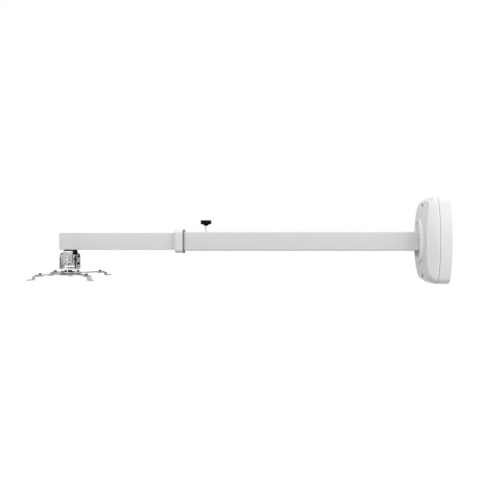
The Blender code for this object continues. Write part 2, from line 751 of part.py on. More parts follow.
def inner_tube(slider, paint):
    near = -ARM_REACH + CAP_T + GAP
    corner = OUTER_CORNER - OUTER_WALL
    outer = rounded_box(INNER_W / 2, INNER_H / 2, corner)
    inner = rounded_box(INNER_W / 2 - INNER_WALL, INNER_H / 2 - INNER_WALL, corner / 2)
    tube = framed("inner_tube", outer, inner, "YZ", near, near + INNER_LENGTH, slider, paint)
    seat = HEAD_CENTRE + Vector((0, 0, TUBE_FLOOR))
    bore(tube, "cut_swivel_hole", SWIVEL_R + RUN, seat, (0, 0, 1), -OVERRUN, INNER_WALL + OVERRUN, slider)


def end_cap(slider, plastic):
    """Plug that closes the inner tube, with a round outer edge and a hollow back."""
    back = -ARM_REACH + CAP_T
    corner = OUTER_CORNER - OUTER_WALL
    plug_w = INNER_W / 2 - INNER_WALL - GAP
    plug_h = INNER_H / 2 - INNER_WALL - GAP

    def ring(half_u, half_v, radius, x):
        return [Vector((x, y, z)) for y, z in rounded_box(half_u, half_v, radius)]

    hollow = CAP_PLUG_WALL
    rings = []
    for step in range(CAP_ROUND_STEPS + 1):
        angle = step / CAP_ROUND_STEPS * math.pi / 2
        inset = CAP_ROUND * (1 - math.sin(angle))
        rings.append(ring(INNER_W / 2 - inset, INNER_H / 2 - inset, corner,
                          -ARM_REACH + CAP_ROUND * (1 - math.cos(angle))))
    rings += [
        ring(INNER_W / 2, INNER_H / 2, corner, back),
        ring(plug_w, plug_h, corner / 2, back),
        ring(plug_w, plug_h, corner / 2, back + CAP_PLUG),
        ring(plug_w - hollow, plug_h - hollow, corner / 2, back + CAP_PLUG),
        ring(plug_w - hollow, plug_h - hollow, corner / 2, back - CAP_T / 2),
    ]
    loft("end_cap", rings, slider, plastic)


def swivel_fixings(slider, steel, zinc, rubber):
    """What holds the head: backing plate and nut in the tube, the disc and the bolt."""
    floor = TUBE_FLOOR + INNER_WALL + GAP
    half_w = INNER_W / 2 - INNER_WALL - 2 * GAP
    outline = rounded_box(BACKING_HALF_L, half_w, BACKING_CORNER)
    backing_x = -ARM_REACH + CAP_T + CAP_PLUG + GAP + BACKING_HALF_L
    plate = prism("backing_plate", outline, "XY", floor, floor + BACKING_T, slider, steel, centre=(backing_x, 0))
    bore(plate, "cut_backing_hole", SWIVEL_R + RUN, HEAD_CENTRE, (0, 0, 1), floor - OVERRUN,
         floor + BACKING_T + OVERRUN, slider)
    nut_seat = HEAD_CENTRE + Vector((0, 0, floor + BACKING_T + GAP))
    nut("swivel_nut", nut_seat, (0, 0, 1), SWIVEL_HEAD_AF, SWIVEL_HEAD_H, SWIVEL_R + RUN, slider, zinc)
    hole = SWIVEL_R + RUN
    turned("swivel_disc", [(DISC_R, 0), (DISC_R, DISC_T), (hole, DISC_T), (hole, 0)],
           HEAD_CENTRE + Vector((0, 0, DISC_Z)), (0, 0, 1), slider, rubber, hollow=True, count=2 * ROUND)
    seat = HEAD_CENTRE + Vector((0, 0, YOKE_Z - SHEET_T - GAP))
    length = nut_seat.z + SWIVEL_HEAD_H - seat.z
    screw("swivel_bolt", seat, (0, 0, -1), SWIVEL_R, length, hexagon(SWIVEL_HEAD_AF), SWIVEL_HEAD_H,
          slider, zinc)


def upper_yoke(swivel, zinc):
    """Folded U that hangs under the disc, with pivot holes and arc slots in its cheeks."""
    middle = YOKE_HALF_W - SHEET_T / 2
    low = YOKE_Z - YOKE_DROP
    corners = [(-middle, low), (-middle, YOKE_Z - SHEET_T / 2), (middle, YOKE_Z - SHEET_T / 2), (middle, low)]
    outline = sheet_outline(corners, SHEET_T, SHEET_BEND)
    yoke = prism("upper_yoke", outline, "YZ", -HEAD_X - YOKE_HALF_L, -HEAD_X + YOKE_HALF_L, swivel, zinc)
    cheek = [(YOKE_HALF_L * math.cos(a), low + YOKE_HALF_L * (1 + math.sin(a))) for a in half_turn(math.pi)]
    cheek += [(YOKE_HALF_L, YOKE_Z + OVERRUN), (-YOKE_HALF_L, YOKE_Z + OVERRUN)]
    shape = prism("keep_cheek", cheek, "XZ", -YOKE_HALF_W - OVERRUN, YOKE_HALF_W + OVERRUN, swivel,
                  centre=(-HEAD_X, 0))
    boolean(yoke, shape, "INTERSECT")
    reach = YOKE_HALF_W + OVERRUN
    pitch = HEAD_CENTRE + Vector((0, 0, PITCH_Z))
    bore(yoke, "cut_swivel_bore", SWIVEL_R + RUN, HEAD_CENTRE, (0, 0, 1), YOKE_Z - SHEET_T - OVERRUN,
         YOKE_Z + OVERRUN, swivel)
    bore(yoke, "cut_pitch_bore", PIVOT_R + RUN, pitch, (0, 1, 0), -reach, reach, swivel)
    slot = arc_slot(PITCH_LOCK_R, LOCK_R + RUN, PITCH_SLOT_HALF)
    tool = prism("cut_pitch_slot", slot, "XZ", -reach, reach, swivel, centre=(-HEAD_X, PITCH_Z))
    cut(yoke, tool)


def pivot_screws(carrier, names, centre, axis, seat, length, material, radius, head_r, head_h, socket_r):
    """A pair of screws at both ends of an axis through centre."""
    for name, side in zip(names, (-1, 1)):
        out = Vector(axis) * side
        screw(name, Vector(centre) + out * seat, out, radius, length, head_r, head_h, carrier, material,
              socket_r=socket_r)


def tilt_frame(tilt, zinc):
    """Folded ring between the cheeks of both yokes, with the finger that the traveller moves."""
    low = YOKE_Z - FRAME_BOTTOM_DROP
    high = YOKE_Z - FRAME_TOP_DROP
    outer = rounded_box(FRAME_HALF_L, FRAME_HALF_W, FRAME_CORNER)
    inner = rounded_box(FRAME_HALF_L - SHEET_T, FRAME_HALF_W - SHEET_T, FRAME_CORNER - SHEET_T)
    frame = framed("tilt_frame", outer, inner, "XY", low, high, tilt, zinc, centre=(-HEAD_X, 0))
    finger_x = FRAME_HALF_L - SHEET_T / 2
    root = FRAME_CORNER + SHEET_T
    outline = rounded_box(SHEET_T / 2, (FINGER_REACH + root) / 2, FINGER_CORNER)
    finger = prism("add_finger", outline, "XY", TRAVELLER_Z - FINGER_T / 2, TRAVELLER_Z + FINGER_T / 2, tilt,
                   centre=(finger_x - HEAD_X, -FRAME_HALF_W - (FINGER_REACH - root) / 2))
    boolean(frame, finger, "UNION")
    pitch = HEAD_CENTRE + Vector((0, 0, PITCH_Z))
    roll = HEAD_CENTRE + Vector((0, 0, ROLL_Z))
    across = FRAME_HALF_W + OVERRUN
    along = FRAME_HALF_L + OVERRUN
    bore(frame, "cut_frame_pitch", PIVOT_R + RUN, pitch, (0, 1, 0), -across, across, tilt)
    bore(frame, "cut_frame_pitch_lock", LOCK_R + RUN, pitch - Vector((0, 0, PITCH_LOCK_R)), (0, 1, 0),
         -across, across, tilt)
    bore(frame, "cut_frame_roll", PIVOT_R + RUN, roll, (1, 0, 0), -along, along, tilt)
    bore(frame, "cut_frame_roll_lock", LOCK_R + RUN, roll - Vector((0, 0, ROLL_LOCK_R)), (1, 0, 0),
         -along, along, tilt)


def head_screws(swivel, tilt, zinc, dark):
    """Pivot and lock screws of the pitch and roll axes."""
    pitch = HEAD_CENTRE + Vector((0, 0, PITCH_Z))
    roll = HEAD_CENTRE + Vector((0, 0, ROLL_Z))
    grip = SHEET_T + SHEET_T + 2 * GAP
    pivot_screws(swivel, ("pitch_pivot_front", "pitch_pivot_back"), pitch, (0, 1, 0), YOKE_HALF_W + GAP, grip,
                 zinc, PIVOT_R, PIVOT_HEAD_R, PIVOT_HEAD_H, PIVOT_SOCKET_R)
    pivot_screws(tilt, ("pitch_lock_front", "pitch_lock_back"), pitch - Vector((0, 0, PITCH_LOCK_R)),
                 (0, 1, 0), YOKE_HALF_W + GAP, grip, zinc, LOCK_R, LOCK_HEAD_R, LOCK_HEAD_H, LOCK_SOCKET_R)
    grip = CRADLE_T + SHEET_T + 2 * GAP
    pivot_screws(tilt, ("roll_pivot_left", "roll_pivot_right"), roll, (1, 0, 0), CRADLE_HALF_L + GAP, grip,
                 dark, PIVOT_R, ROLL_HEAD_R, LOCK_HEAD_H, PIVOT_SOCKET_R)
    pivot_screws(tilt, ("roll_lock_left", "roll_lock_right"), roll - Vector((0, 0, ROLL_LOCK_R)),
                 (1, 0, 0), CRADLE_HALF_L + GAP, grip, dark, LOCK_R, LOCK_HEAD_R, LOCK_HEAD_H, LOCK_SOCKET_R)


def lower_yoke(cradle, zinc):
    """Folded U that carries the hub, with stiffening lips and two ears for the fine adjuster."""
    middle = CRADLE_HALF_L - CRADLE_T / 2
    base = CRADLE_Z + CRADLE_T / 2
    top = YOKE_Z - CRADLE_TOP_DROP
    corners = [(-middle, top), (-middle, base), (middle, base), (middle, top)]
    outline = sheet_outline(corners, CRADLE_T, SHEET_BEND)
    yoke = prism("lower_yoke", outline, "XZ", -CRADLE_HALF_W, CRADLE_HALF_W, cradle, zinc, centre=(-HEAD_X, 0))
    cheek = [(CRADLE_HALF_W * math.cos(a), top - CRADLE_HALF_W * (1 - math.sin(a))) for a in half_turn(0)]
    cheek += [(-CRADLE_HALF_W, CRADLE_Z - OVERRUN), (CRADLE_HALF_W, CRADLE_Z - OVERRUN)]
    reach = CRADLE_HALF_L + OVERRUN
    shape = prism("keep_wall", cheek, "YZ", -HEAD_X - reach, -HEAD_X + reach, cradle)
    boolean(yoke, shape, "INTERSECT")
    lip_half = CRADLE_HALF_L - CRADLE_T - SHEET_BEND
    for side in (-1, 1):
        lip_low, lip_high = sorted((side * CRADLE_HALF_W, side * (CRADLE_HALF_W - CRADLE_LIP_T)))
        lip = prism("add_lip", rounded_box(lip_half, CRADLE_LIP_H / 2, LIP_CORNER), "XZ", lip_low, lip_high,
                    cradle, centre=(-HEAD_X, CRADLE_Z + CRADLE_LIP_H / 2))
        boolean(yoke, lip, "UNION")
    for level in (EAR_TOP_Z, EAR_LOW_Z):
        ear_back = -CRADLE_HALF_W + 2 * CRADLE_T
        ear_front = -SCREW_Y - EAR_REACH
        ear = prism("add_ear", rounded_box(EAR_HALF_L, (ear_back - ear_front) / 2, EAR_CORNER), "XY",
                    level - EAR_T, level, cradle, centre=(SCREW_AT.x, (ear_back + ear_front) / 2))
        boolean(yoke, ear, "UNION")
    clear = CRADLE_HALF_L - CRADLE_T
    root = FRAME_HALF_W + EAR_ROOT_CLEAR
    for level in (EAR_TOP_Z, EAR_LOW_Z):
        inside = prism("cut_ear_root", rounded_box(clear / 2, root / 2, EAR_ROOT_CORNER), "XY",
                       level - EAR_T - GAP, level + GAP, cradle, centre=(clear / 2 - HEAD_X, -root / 2))
        cut(yoke, inside)
    roll = HEAD_CENTRE + Vector((0, 0, ROLL_Z))
    bore(yoke, "cut_roll_bore", PIVOT_R + RUN, roll, (1, 0, 0), -reach, reach, cradle)
    slot = arc_slot(ROLL_LOCK_R, LOCK_R + RUN, ROLL_RANGE + SLOT_MARGIN)
    cut(yoke, prism("cut_roll_slot", slot, "YZ", -HEAD_X - reach, -HEAD_X + reach, cradle, centre=(0, ROLL_Z)))
    bore(yoke, "cut_hub_bore", HUB_BOLT_R + RUN, HEAD_CENTRE, (0, 0, 1), CRADLE_Z - OVERRUN,
         CRADLE_Z + CRADLE_T + OVERRUN, cradle)
    bore(yoke, "cut_ear_bores", SCREW_R + RUN, SCREW_AT, (0, 0, 1), EAR_LOW_Z - EAR_T - OVERRUN,
         EAR_TOP_Z + OVERRUN, cradle)


def fine_adjuster(turning, travelling, plastic, steel, zinc):
    """Knob and screw between the ears, and the traveller that the screw lifts."""
    knob_low = EAR_TOP_Z + GAP
    knob_top = knob_low + KNOB_H
    screw_top = knob_low + SCREW_IN_KNOB
    edge = KNOB_EDGE
    hole = SCREW_R + RUN

    def fluted(angle):
        return KNOB_R - FLUTE_DEPTH * (1 - math.cos(FLUTES * angle))

    profile = [(hole, screw_top + GAP), (hole, knob_low), (KNOB_R - edge, knob_low), (fluted, knob_low + edge),
               (fluted, knob_top - edge), (KNOB_R - 2 * edge, knob_top)]
    turned("adjuster_knob", profile, SCREW_AT, (0, 0, 1), turning, plastic, count=2 * HOLE_ROUND)
    low = EAR_LOW_Z - EAR_T - SCREW_TAIL
    profile = [(SCREW_R - SCREW_BEVEL, low), (SCREW_R, low + SCREW_BEVEL), (SCREW_R, screw_top)]
    turned("adjuster_screw", profile, SCREW_AT, (0, 0, 1), turning, steel)
    outline = rounded_box(TRAVELLER_HALF, TRAVELLER_HALF, TRAVELLER_CORNER)
    block = prism("adjuster_traveller", outline, "XY", TRAVELLER_Z - TRAVELLER_HALF, TRAVELLER_Z + TRAVELLER_HALF,
                  travelling, zinc, centre=(SCREW_AT.x, SCREW_AT.y))
    bore(block, "cut_traveller_thread", hole, SCREW_AT, (0, 0, 1), TRAVELLER_Z - TRAVELLER_HALF - OVERRUN,
         TRAVELLER_Z + TRAVELLER_HALF + OVERRUN, travelling)
    groove_edge = FRAME_HALF_L + GAP
    groove_left = SCREW_X - TRAVELLER_HALF - OVERRUN
    outline = rounded_box((groove_edge - groove_left) / 2, FINGER_SLOT / 2, GROOVE_CORNER)
    groove = prism("cut_groove", outline, "XZ", SCREW_AT.y - TRAVELLER_HALF - OVERRUN,
                   SCREW_AT.y + TRAVELLER_HALF + OVERRUN, travelling,
                   centre=((groove_edge + groove_left) / 2 - HEAD_X, TRAVELLER_Z))
    cut(block, groove)


def hub(cradle, zinc, plastic, dark):
    """Two discs that hold the arms, spaced from the cradle and drawn up by one bolt."""
    hole = HUB_BOLT_R + RUN
    turned("hub_spacer", [(SPACER_R, 0), (SPACER_R, SPACER_T), (hole, SPACER_T), (hole, 0)],
           HEAD_CENTRE + Vector((0, 0, SPACER_Z)), (0, 0, 1), cradle, plastic, hollow=True)
    edge = HUB_EDGE
    for name, radius, level in (("hub_top_plate", HUB_TOP_R, HUB_TOP_Z), ("hub_low_plate", HUB_LOW_R, HUB_LOW_Z)):
        profile = [(radius - edge, 0), (radius, edge), (radius, HUB_T - edge), (radius - edge, HUB_T),
                   (hole, HUB_T), (hole, 0)]
        plate = turned(name, profile, HEAD_CENTRE + Vector((0, 0, level)), (0, 0, 1), cradle, zinc, hollow=True,
                       count=2 * ROUND)
        for _, azimuth, _ in ARMS:
            centre = arm_pivot(azimuth)
            bore(plate, "cut_arm_screw", ARM_PIVOT_R + RUN, centre, (0, 0, 1), level - OVERRUN,
                 level + HUB_T + OVERRUN, cradle)
    bolt_seat = HEAD_CENTRE + Vector((0, 0, CRADLE_Z + CRADLE_T + GAP))
    nut_seat = HEAD_CENTRE + Vector((0, 0, HUB_LOW_Z - GAP))
    screw("hub_bolt", bolt_seat, (0, 0, 1), HUB_BOLT_R, bolt_seat.z - nut_seat.z + HUB_NUT_H,
          hexagon(HUB_BOLT_AF), HUB_BOLT_H, cradle, zinc)
    nut("hub_nut", nut_seat, (0, 0, -1), HUB_BOLT_AF, HUB_NUT_H, hole, cradle, zinc)
    for name, azimuth, _ in ARMS:
        seat = arm_pivot(azimuth) + Vector((0, 0, HUB_TOP_Z + HUB_T + GAP))
        screw("arm_screw_" + name, seat, (0, 0, 1), ARM_PIVOT_R, seat.z - HUB_LOW_Z - GAP, ARM_PIVOT_HEAD_R,
              ARM_PIVOT_HEAD_H, cradle, dark, socket_r=ARM_SOCKET_R)


def arm_pivot(azimuth):
    """Centre of an arm's pivot screw, at the head's own height of zero."""
    return HEAD_CENTRE + Vector((math.cos(azimuth), math.sin(azimuth), 0)) * ARM_PIVOT_RADIUS


def spider_arm(name, bend_radius, swing, steel):
    """Slotted flat bar in its own frame: the pivot at the origin, the foot towards +X."""
    screw_x = bend_radius - ARM_PIVOT_RADIUS - FOOT_SCREW_BACK
    slot_r = FOOT_SCREW_R + RUN
    slot_start = screw_x - FOOT_SLIDE_IN
    slot_end = screw_x + FOOT_SLIDE_OUT
    bar_end = slot_end + slot_r + ARM_SLOT_MARGIN - ARM_W / 2
    outline = slot_outline(0, bar_end, ARM_W / 2)
    bar = prism("arm_" + name, outline, "XY", ARM_Z, ARM_Z + ARM_T, swing, steel, local=True)
    bore(bar, "cut_arm_pivot", ARM_PIVOT_R + RUN, (0, 0, 0), (0, 0, 1), ARM_Z - OVERRUN, ARM_Z + ARM_T + OVERRUN,
         swing, local=True)
    slot = slot_outline(slot_start, slot_end, slot_r)
    cut(bar, prism("cut_arm_slot", slot, "XY", ARM_Z - OVERRUN, ARM_Z + ARM_T + OVERRUN, swing, local=True))


def spider_foot(name, bend_radius, slide, paint, zinc):
    """Z-bent foot under the arm, in the arm's frame, with the screw that clamps it."""
    bend_x = bend_radius - ARM_PIVOT_RADIUS
    screw_x = bend_x - FOOT_SCREW_BACK
    heel = screw_x - FOOT_HEEL
    level = FOOT_Z + FOOT_T / 2
    toe = bend_x + FOOT_SLANT + FOOT_TOE
    corners = [(heel, level), (bend_x, level), (bend_x + FOOT_SLANT, level - FOOT_DROP),
               (toe, level - FOOT_DROP)]
    outline = sheet_outline(corners, FOOT_T, FOOT_BEND)
    foot = prism("foot_" + name, outline, "XZ", -FOOT_W / 2, FOOT_W / 2, slide, paint, local=True)
    plan = slot_outline(heel + FOOT_W / 2, toe - FOOT_W / 2, FOOT_W / 2)
    shape = prism("keep_foot", plan, "XY", level - FOOT_DROP - OVERRUN, level + OVERRUN, slide, local=True)
    boolean(foot, shape, "INTERSECT")
    bore(foot, "cut_foot_thread", FOOT_SCREW_R + RUN, (screw_x, 0, level), (0, 0, 1), -OVERRUN, OVERRUN, slide,
         local=True)
    bore(foot, "cut_foot_hole", FOOT_HOLE_R, (toe - FOOT_HOLE_BACK, 0, level - FOOT_DROP), (0, 0, 1), -OVERRUN,
         OVERRUN, slide, local=True)
    seat = (screw_x, 0, ARM_Z + ARM_T + GAP)
    screw("foot_screw_" + name, seat, (0, 0, 1), FOOT_SCREW_R, ARM_T + GAP + FOOT_T, FOOT_SCREW_HEAD_R,
          FOOT_SCREW_HEAD_H, slide, zinc, socket_r=FOOT_SOCKET_R, local=True)


def build():
    for piece in list(bpy.data.objects):
        bpy.data.objects.remove(piece, do_unlink=True)
    paint = finish("white_powder_coat", (0.66, 0.66, 0.65), 0.45)
    plastic = finish("white_plastic", (0.72, 0.72, 0.71), 0.38)
    black = finish("black_plastic", (0.012, 0.012, 0.012), 0.42)
    rubber = finish("black_rubber", (0.02, 0.02, 0.02), 0.7)
    zinc = finish("bright_zinc", (0.62, 0.62, 0.62), 0.28, 1.0)
    steel = finish("grey_steel", (0.32, 0.32, 0.32), 0.4, 1.0)
    dark = finish("black_oxide", (0.03, 0.03, 0.03), 0.4, 0.6)

    fixed = pivot("wall_end", Vector((0, 0, 0)))
    clamp_turn = pivot("clamp_turn", Vector((-CLAMP_X, 0, OUTER_H / 2)), fixed)
    slider = pivot("arm_slide", HEAD_CENTRE, fixed)
    swivel = pivot("head_swivel", HEAD_CENTRE + Vector((0, 0, TUBE_FLOOR)), slider)
    tilt = pivot("head_pitch", HEAD_CENTRE + Vector((0, 0, PITCH_Z)), swivel)
    cradle = pivot("head_roll", HEAD_CENTRE + Vector((0, 0, ROLL_Z)), tilt)
    turning = pivot("adjuster_turn", SCREW_AT + Vector((0, 0, EAR_TOP_Z)), cradle)
    travelling = pivot("traveller_slide", SCREW_AT + Vector((0, 0, TRAVELLER_Z)), cradle)

    wall_plate(fixed, steel)
    rear_cover(fixed, plastic)
    front_cover(fixed, plastic)
    cover_screws(fixed, dark, steel)
    arm_flange(fixed, steel, zinc)
    outer_tube(fixed, paint)
    collar(fixed, plastic, rubber)
    clamp(clamp_turn, black, zinc)
    inner_tube(slider, paint)
    end_cap(slider, plastic)
    swivel_fixings(slider, steel, zinc, rubber)
    upper_yoke(swivel, zinc)
    tilt_frame(tilt, zinc)
    head_screws(swivel, tilt, zinc, dark)
    lower_yoke(cradle, zinc)
    fine_adjuster(turning, travelling, black, steel, zinc)
    hub(cradle, zinc, black, dark)
    for name, azimuth, bend_radius in ARMS:
        swing = pivot("swing_" + name, arm_pivot(azimuth), cradle, azimuth)
        slide = pivot("slide_" + name, arm_pivot(azimuth), swing, azimuth)
        spider_arm(name, bend_radius, swing, zinc)
        spider_foot(name, bend_radius, slide, paint, zinc)


build()
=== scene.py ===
"""Looks of a telescopic projector arm: fine forms, finishes, studio light and camera.

Places and sizes are metres, written as millimetres times MM. X runs along the arm from the head to
the wall, Y away from the camera and Z up. An outline is an array of points in a plane, and a grid
is an array of points, rows by columns by 3.
"""
import json
import math

import bpy
import numpy as np
from mathutils import Matrix, Vector


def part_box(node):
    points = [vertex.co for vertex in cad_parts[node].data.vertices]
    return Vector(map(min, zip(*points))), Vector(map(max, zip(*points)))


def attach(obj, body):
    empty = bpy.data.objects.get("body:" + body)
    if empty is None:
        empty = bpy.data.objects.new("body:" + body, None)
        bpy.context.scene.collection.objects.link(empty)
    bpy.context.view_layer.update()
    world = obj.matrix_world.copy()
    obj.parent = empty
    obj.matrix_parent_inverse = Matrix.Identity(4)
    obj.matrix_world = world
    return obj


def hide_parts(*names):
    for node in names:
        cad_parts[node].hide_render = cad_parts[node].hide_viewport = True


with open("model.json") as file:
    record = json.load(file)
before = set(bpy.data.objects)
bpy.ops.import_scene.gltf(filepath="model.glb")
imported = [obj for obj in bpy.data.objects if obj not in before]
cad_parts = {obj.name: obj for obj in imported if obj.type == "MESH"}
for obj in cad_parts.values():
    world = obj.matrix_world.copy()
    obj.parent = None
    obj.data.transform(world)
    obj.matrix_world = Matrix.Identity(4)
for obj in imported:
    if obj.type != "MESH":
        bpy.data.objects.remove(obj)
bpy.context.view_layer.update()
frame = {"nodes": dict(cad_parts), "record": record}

MM = 0.001
DEG = math.pi / 180
TAU = 2 * math.pi
UP = (0, 0, 1)
DOWN = (0, 0, -1)
ALONG = (1, 0, 0)
OFF_WALL = (-1, 0, 0)
ACROSS = (0, 1, 0)

# Camera: the photograph's place and lens, on a frame of 480 by 480
CAMERA_PLACE = (-0.653, -1.5, 0.004)
CAMERA_LENS = 35.1
CAMERA_SENSOR = 36.0

# Studio: strengths of the sky, and the floor's tones for light and for viewers
WHITE = (1, 1, 1, 1)
HORIZON_LEVEL = 0.46
ZENITH_LEVEL = 0.85
FLOOR_Z = -1.6
FLOOR_HALF = 9.0
FLOOR_BOUNCE = 0.3
FLOOR_TONE = 0.8
FLOOR_GLOW = 0.4

# Lamps: name, place, the point that it aims at, width and watts
LAMPS = (
    ("key", (6.2, -3.1, 4.0), (-0.4, 0, 0), 3.8, 365.0),
    ("fill", (-3.3, -5.9, 4.0), (-0.2, 0, 0), 4.0, 260.0),
)

# Facets and broken edges of fine pieces
ROUND = 48
FINE_ROUND = 128
CORNER_STEPS = 10
SLOT_STEPS = 16
ARC_SLOT_STEPS = 14
DOME_STEPS = 32
BEND_STEPS = 10
BEVEL_SEGMENTS = 2
BEVEL_ANGLE = 38 * DEG

JOINTS = {joint["name"]: joint for joint in frame["record"]["behaviour"]["joints"]}
MOUNTS = {mount["name"]: mount for mount in frame["record"]["mounts"]}
HEAD_X = JOINTS["head_swivel"]["pos_m"][0]
PITCH_Z = JOINTS["head_pitch"]["pos_m"][2]
ROLL_Z = JOINTS["head_roll"]["pos_m"][2]
ARM_NAMES = ("front_left", "back_right", "front_right", "back_left")


def mm(*sizes):
    """Sizes in millimetres as metres."""
    return tuple(size * MM for size in sizes)


def span(node):
    """Lowest and highest corner of a node as arrays."""
    low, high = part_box(node)
    return np.array(low), np.array(high)


def half_section(node):
    """Half width and half height of a node that runs along x."""
    low, high = span(node)
    return (high - low)[1:] / 2


def tall(node):
    """Height of a node."""
    low, high = span(node)
    return high[2] - low[2]


# Meshes from arrays


def mesh_from_grid(name, points, loop_rows=False):
    """Grid points as quads; columns close on themselves, and rows do so in a loop.

    A grid that isn't looped gets a flat face over its first and last row. Faces are turned
    outwards by the sign of the volume, the sum of p0 . (p1 x p2) over the triangles.
    """
    rows, columns, _ = points.shape
    index = np.arange(rows * columns).reshape(rows, columns)
    ahead = np.roll(index, -1, axis=1)
    if loop_rows:
        below, below_ahead = np.roll(index, -1, axis=0), np.roll(ahead, -1, axis=0)
        quads = np.stack([index, ahead, below_ahead, below], axis=-1).reshape(-1, 4)
    else:
        quads = np.stack([index[:-1], ahead[:-1], ahead[1:], index[1:]], axis=-1).reshape(-1, 4)
    flat = points.reshape(-1, 3)
    a, b, c, d = (flat[quads[:, k]] for k in range(4))
    middle = flat.mean(axis=0)
    volume = np.sum((a - middle) * np.cross(b - middle, c - middle))
    volume += np.sum((a - middle) * np.cross(c - middle, d - middle))
    faces = quads.tolist()
    if not loop_rows:
        faces.append(index[0][::-1].tolist())
        faces.append(index[-1].tolist())
    if volume < 0:
        faces = [face[::-1] for face in faces]
    mesh = bpy.data.meshes.new(name)
    mesh.from_pydata(flat.tolist(), [], faces)
    mesh.shade_smooth()
    return mesh


def smooth_by_angle(mesh, degrees=32):
    """Smooth faces, with an edge sharp where it bends by more than the angle."""
    mesh.shade_smooth()
    mesh.set_sharp_from_angle(angle=degrees * DEG)


def linked(name, mesh):
    """An object of the scene that shows a mesh."""
    item = bpy.data.objects.new(name, mesh)
    bpy.context.scene.collection.objects.link(item)
    return item


def new_piece(name, mesh, material, body, node):
    """Links a finished mesh, dresses it, and lets it stand for a CAD node on its body."""
    piece = linked(name, mesh)
    mesh.materials.clear()
    mesh.materials.append(material)
    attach(piece, body)
    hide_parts(node)
    return piece


CUT, JOIN, KEEP = "DIFFERENCE", "UNION", "INTERSECT"


def carved(mesh, steps, bevel=0.0):
    """A mesh after Boolean steps (operation, tool mesh) and a fine bevel, all applied."""
    body = linked(mesh.name, mesh)
    tools = []
    for operation, tool_mesh in steps:
        tool = linked(tool_mesh.name, tool_mesh)
        tools.append(tool)
        modifier = body.modifiers.new("step", "BOOLEAN")
        modifier.operation = operation
        modifier.solver = "EXACT"
        modifier.object = tool
    if bevel:
        weld = body.modifiers.new("weld", "WELD")
        weld.merge_threshold = 1e-6
        edge = body.modifiers.new("edge", "BEVEL")
        edge.width = bevel
        edge.segments = BEVEL_SEGMENTS
        edge.limit_method = "ANGLE"
        edge.angle_limit = BEVEL_ANGLE
        edge.use_clamp_overlap = True
    bpy.context.view_layer.update()
    graph = bpy.context.evaluated_depsgraph_get()
    result = bpy.data.meshes.new_from_object(body.evaluated_get(graph), depsgraph=graph)
    for tool in tools + [body]:
        bpy.data.objects.remove(tool, do_unlink=True)
    smooth_by_angle(result)
    return result


# Outlines and sections


def polar(radius, angle):
    """Points at a radius and an angle from the origin: radius times cosine and sine."""
    return np.stack([radius * np.cos(angle), radius * np.sin(angle)], axis=-1)


def rounding(inset, run, count):
    """A quarter ellipse as pairs: the inset shrinks by 1 - sine while the run grows by 1 - cosine."""
    turn = np.linspace(0, math.pi / 2, count)
    return list(zip(inset * (1 - np.sin(turn)), run * (1 - np.cos(turn))))


def box_outline(half_u, half_v, corner):
    """Rectangle with round corners: four quarter arcs of one radius, anticlockwise."""
    quadrant = np.arange(4)[:, None] * math.pi / 2
    angle = np.linspace(0, math.pi / 2, CORNER_STEPS + 1) + quadrant
    sides = np.array([(1, 1), (-1, 1), (-1, -1), (1, -1)])[:, None, :]
    centres = sides * (half_u - corner, half_v - corner)
    return (centres + polar(corner, angle)).reshape(-1, 2)


def slot_outline(start, end, radius):
    """Two half circles of one radius about start and end on the u axis, joined by straight sides."""
    half_circle = polar(radius, np.linspace(-math.pi / 2, math.pi / 2, SLOT_STEPS + 1))
    return np.concatenate([half_circle + (end, 0), (start, 0) - half_circle])


def arc_slot_outline(radius, half_width, half_angle):
    """A slot whose middle line is an arc about the origin, its middle straight down."""
    sweep = np.linspace(-half_angle, half_angle, ARC_SLOT_STEPS + 1) - math.pi / 2
    turn = np.linspace(0, math.pi, ARC_SLOT_STEPS + 1)[1:-1]
    return np.concatenate([
        polar(radius + half_width, sweep),
        polar(radius, sweep[-1]) + polar(half_width, turn + sweep[-1]),
        polar(radius - half_width, sweep[::-1]),
        polar(radius, sweep[0]) + polar(half_width, turn + sweep[0] + math.pi),
    ])


PLANES = {"XY": (0, 1, 2), "XZ": (0, 2, 1), "YZ": (1, 2, 0)}


def raised(outline, plane, levels, centre=(0, 0)):
    """Copies of an outline at several levels square to its plane, as a grid of points."""
    first, second, across = PLANES[plane]
    grid = np.zeros((len(levels), len(outline), 3))
    grid[..., first] = outline[:, 0] + centre[0]
    grid[..., second] = outline[:, 1] + centre[1]
    grid[..., across] = np.asarray(levels)[:, None]
    return grid


def plate_mesh(name, outline, plane, low, high, centre=(0, 0)):
    """An outline's plate from low to high."""
    return mesh_from_grid(name, raised(outline, plane, (low, high), centre))


def turned_grid(profile, count=ROUND, reach=None):
    """Profile rows (radius, height) carried round the z axis; reach may change the radius by angle."""
    profile = np.asarray(profile, dtype=float)
    angle = np.arange(count) * TAU / count
    radius = np.repeat(profile[:, :1], count, axis=1)
    height = np.repeat(profile[:, 1:2], count, axis=1)
    if reach is not None:
        radius = reach(radius, angle[None, :], height)
    return np.stack([radius * np.cos(angle), radius * np.sin(angle), height], axis=-1)


def placed(grid, seat, axis=UP):
    """A grid about the z axis, turned so that z runs along axis, and moved to seat."""
    turn = np.array(Vector(UP).rotation_difference(Vector(axis)).to_matrix())
    return grid @ turn.T + np.asarray(seat, dtype=float)


def unit(vector):
    """A vector divided by its length."""
    return vector / np.linalg.norm(vector)


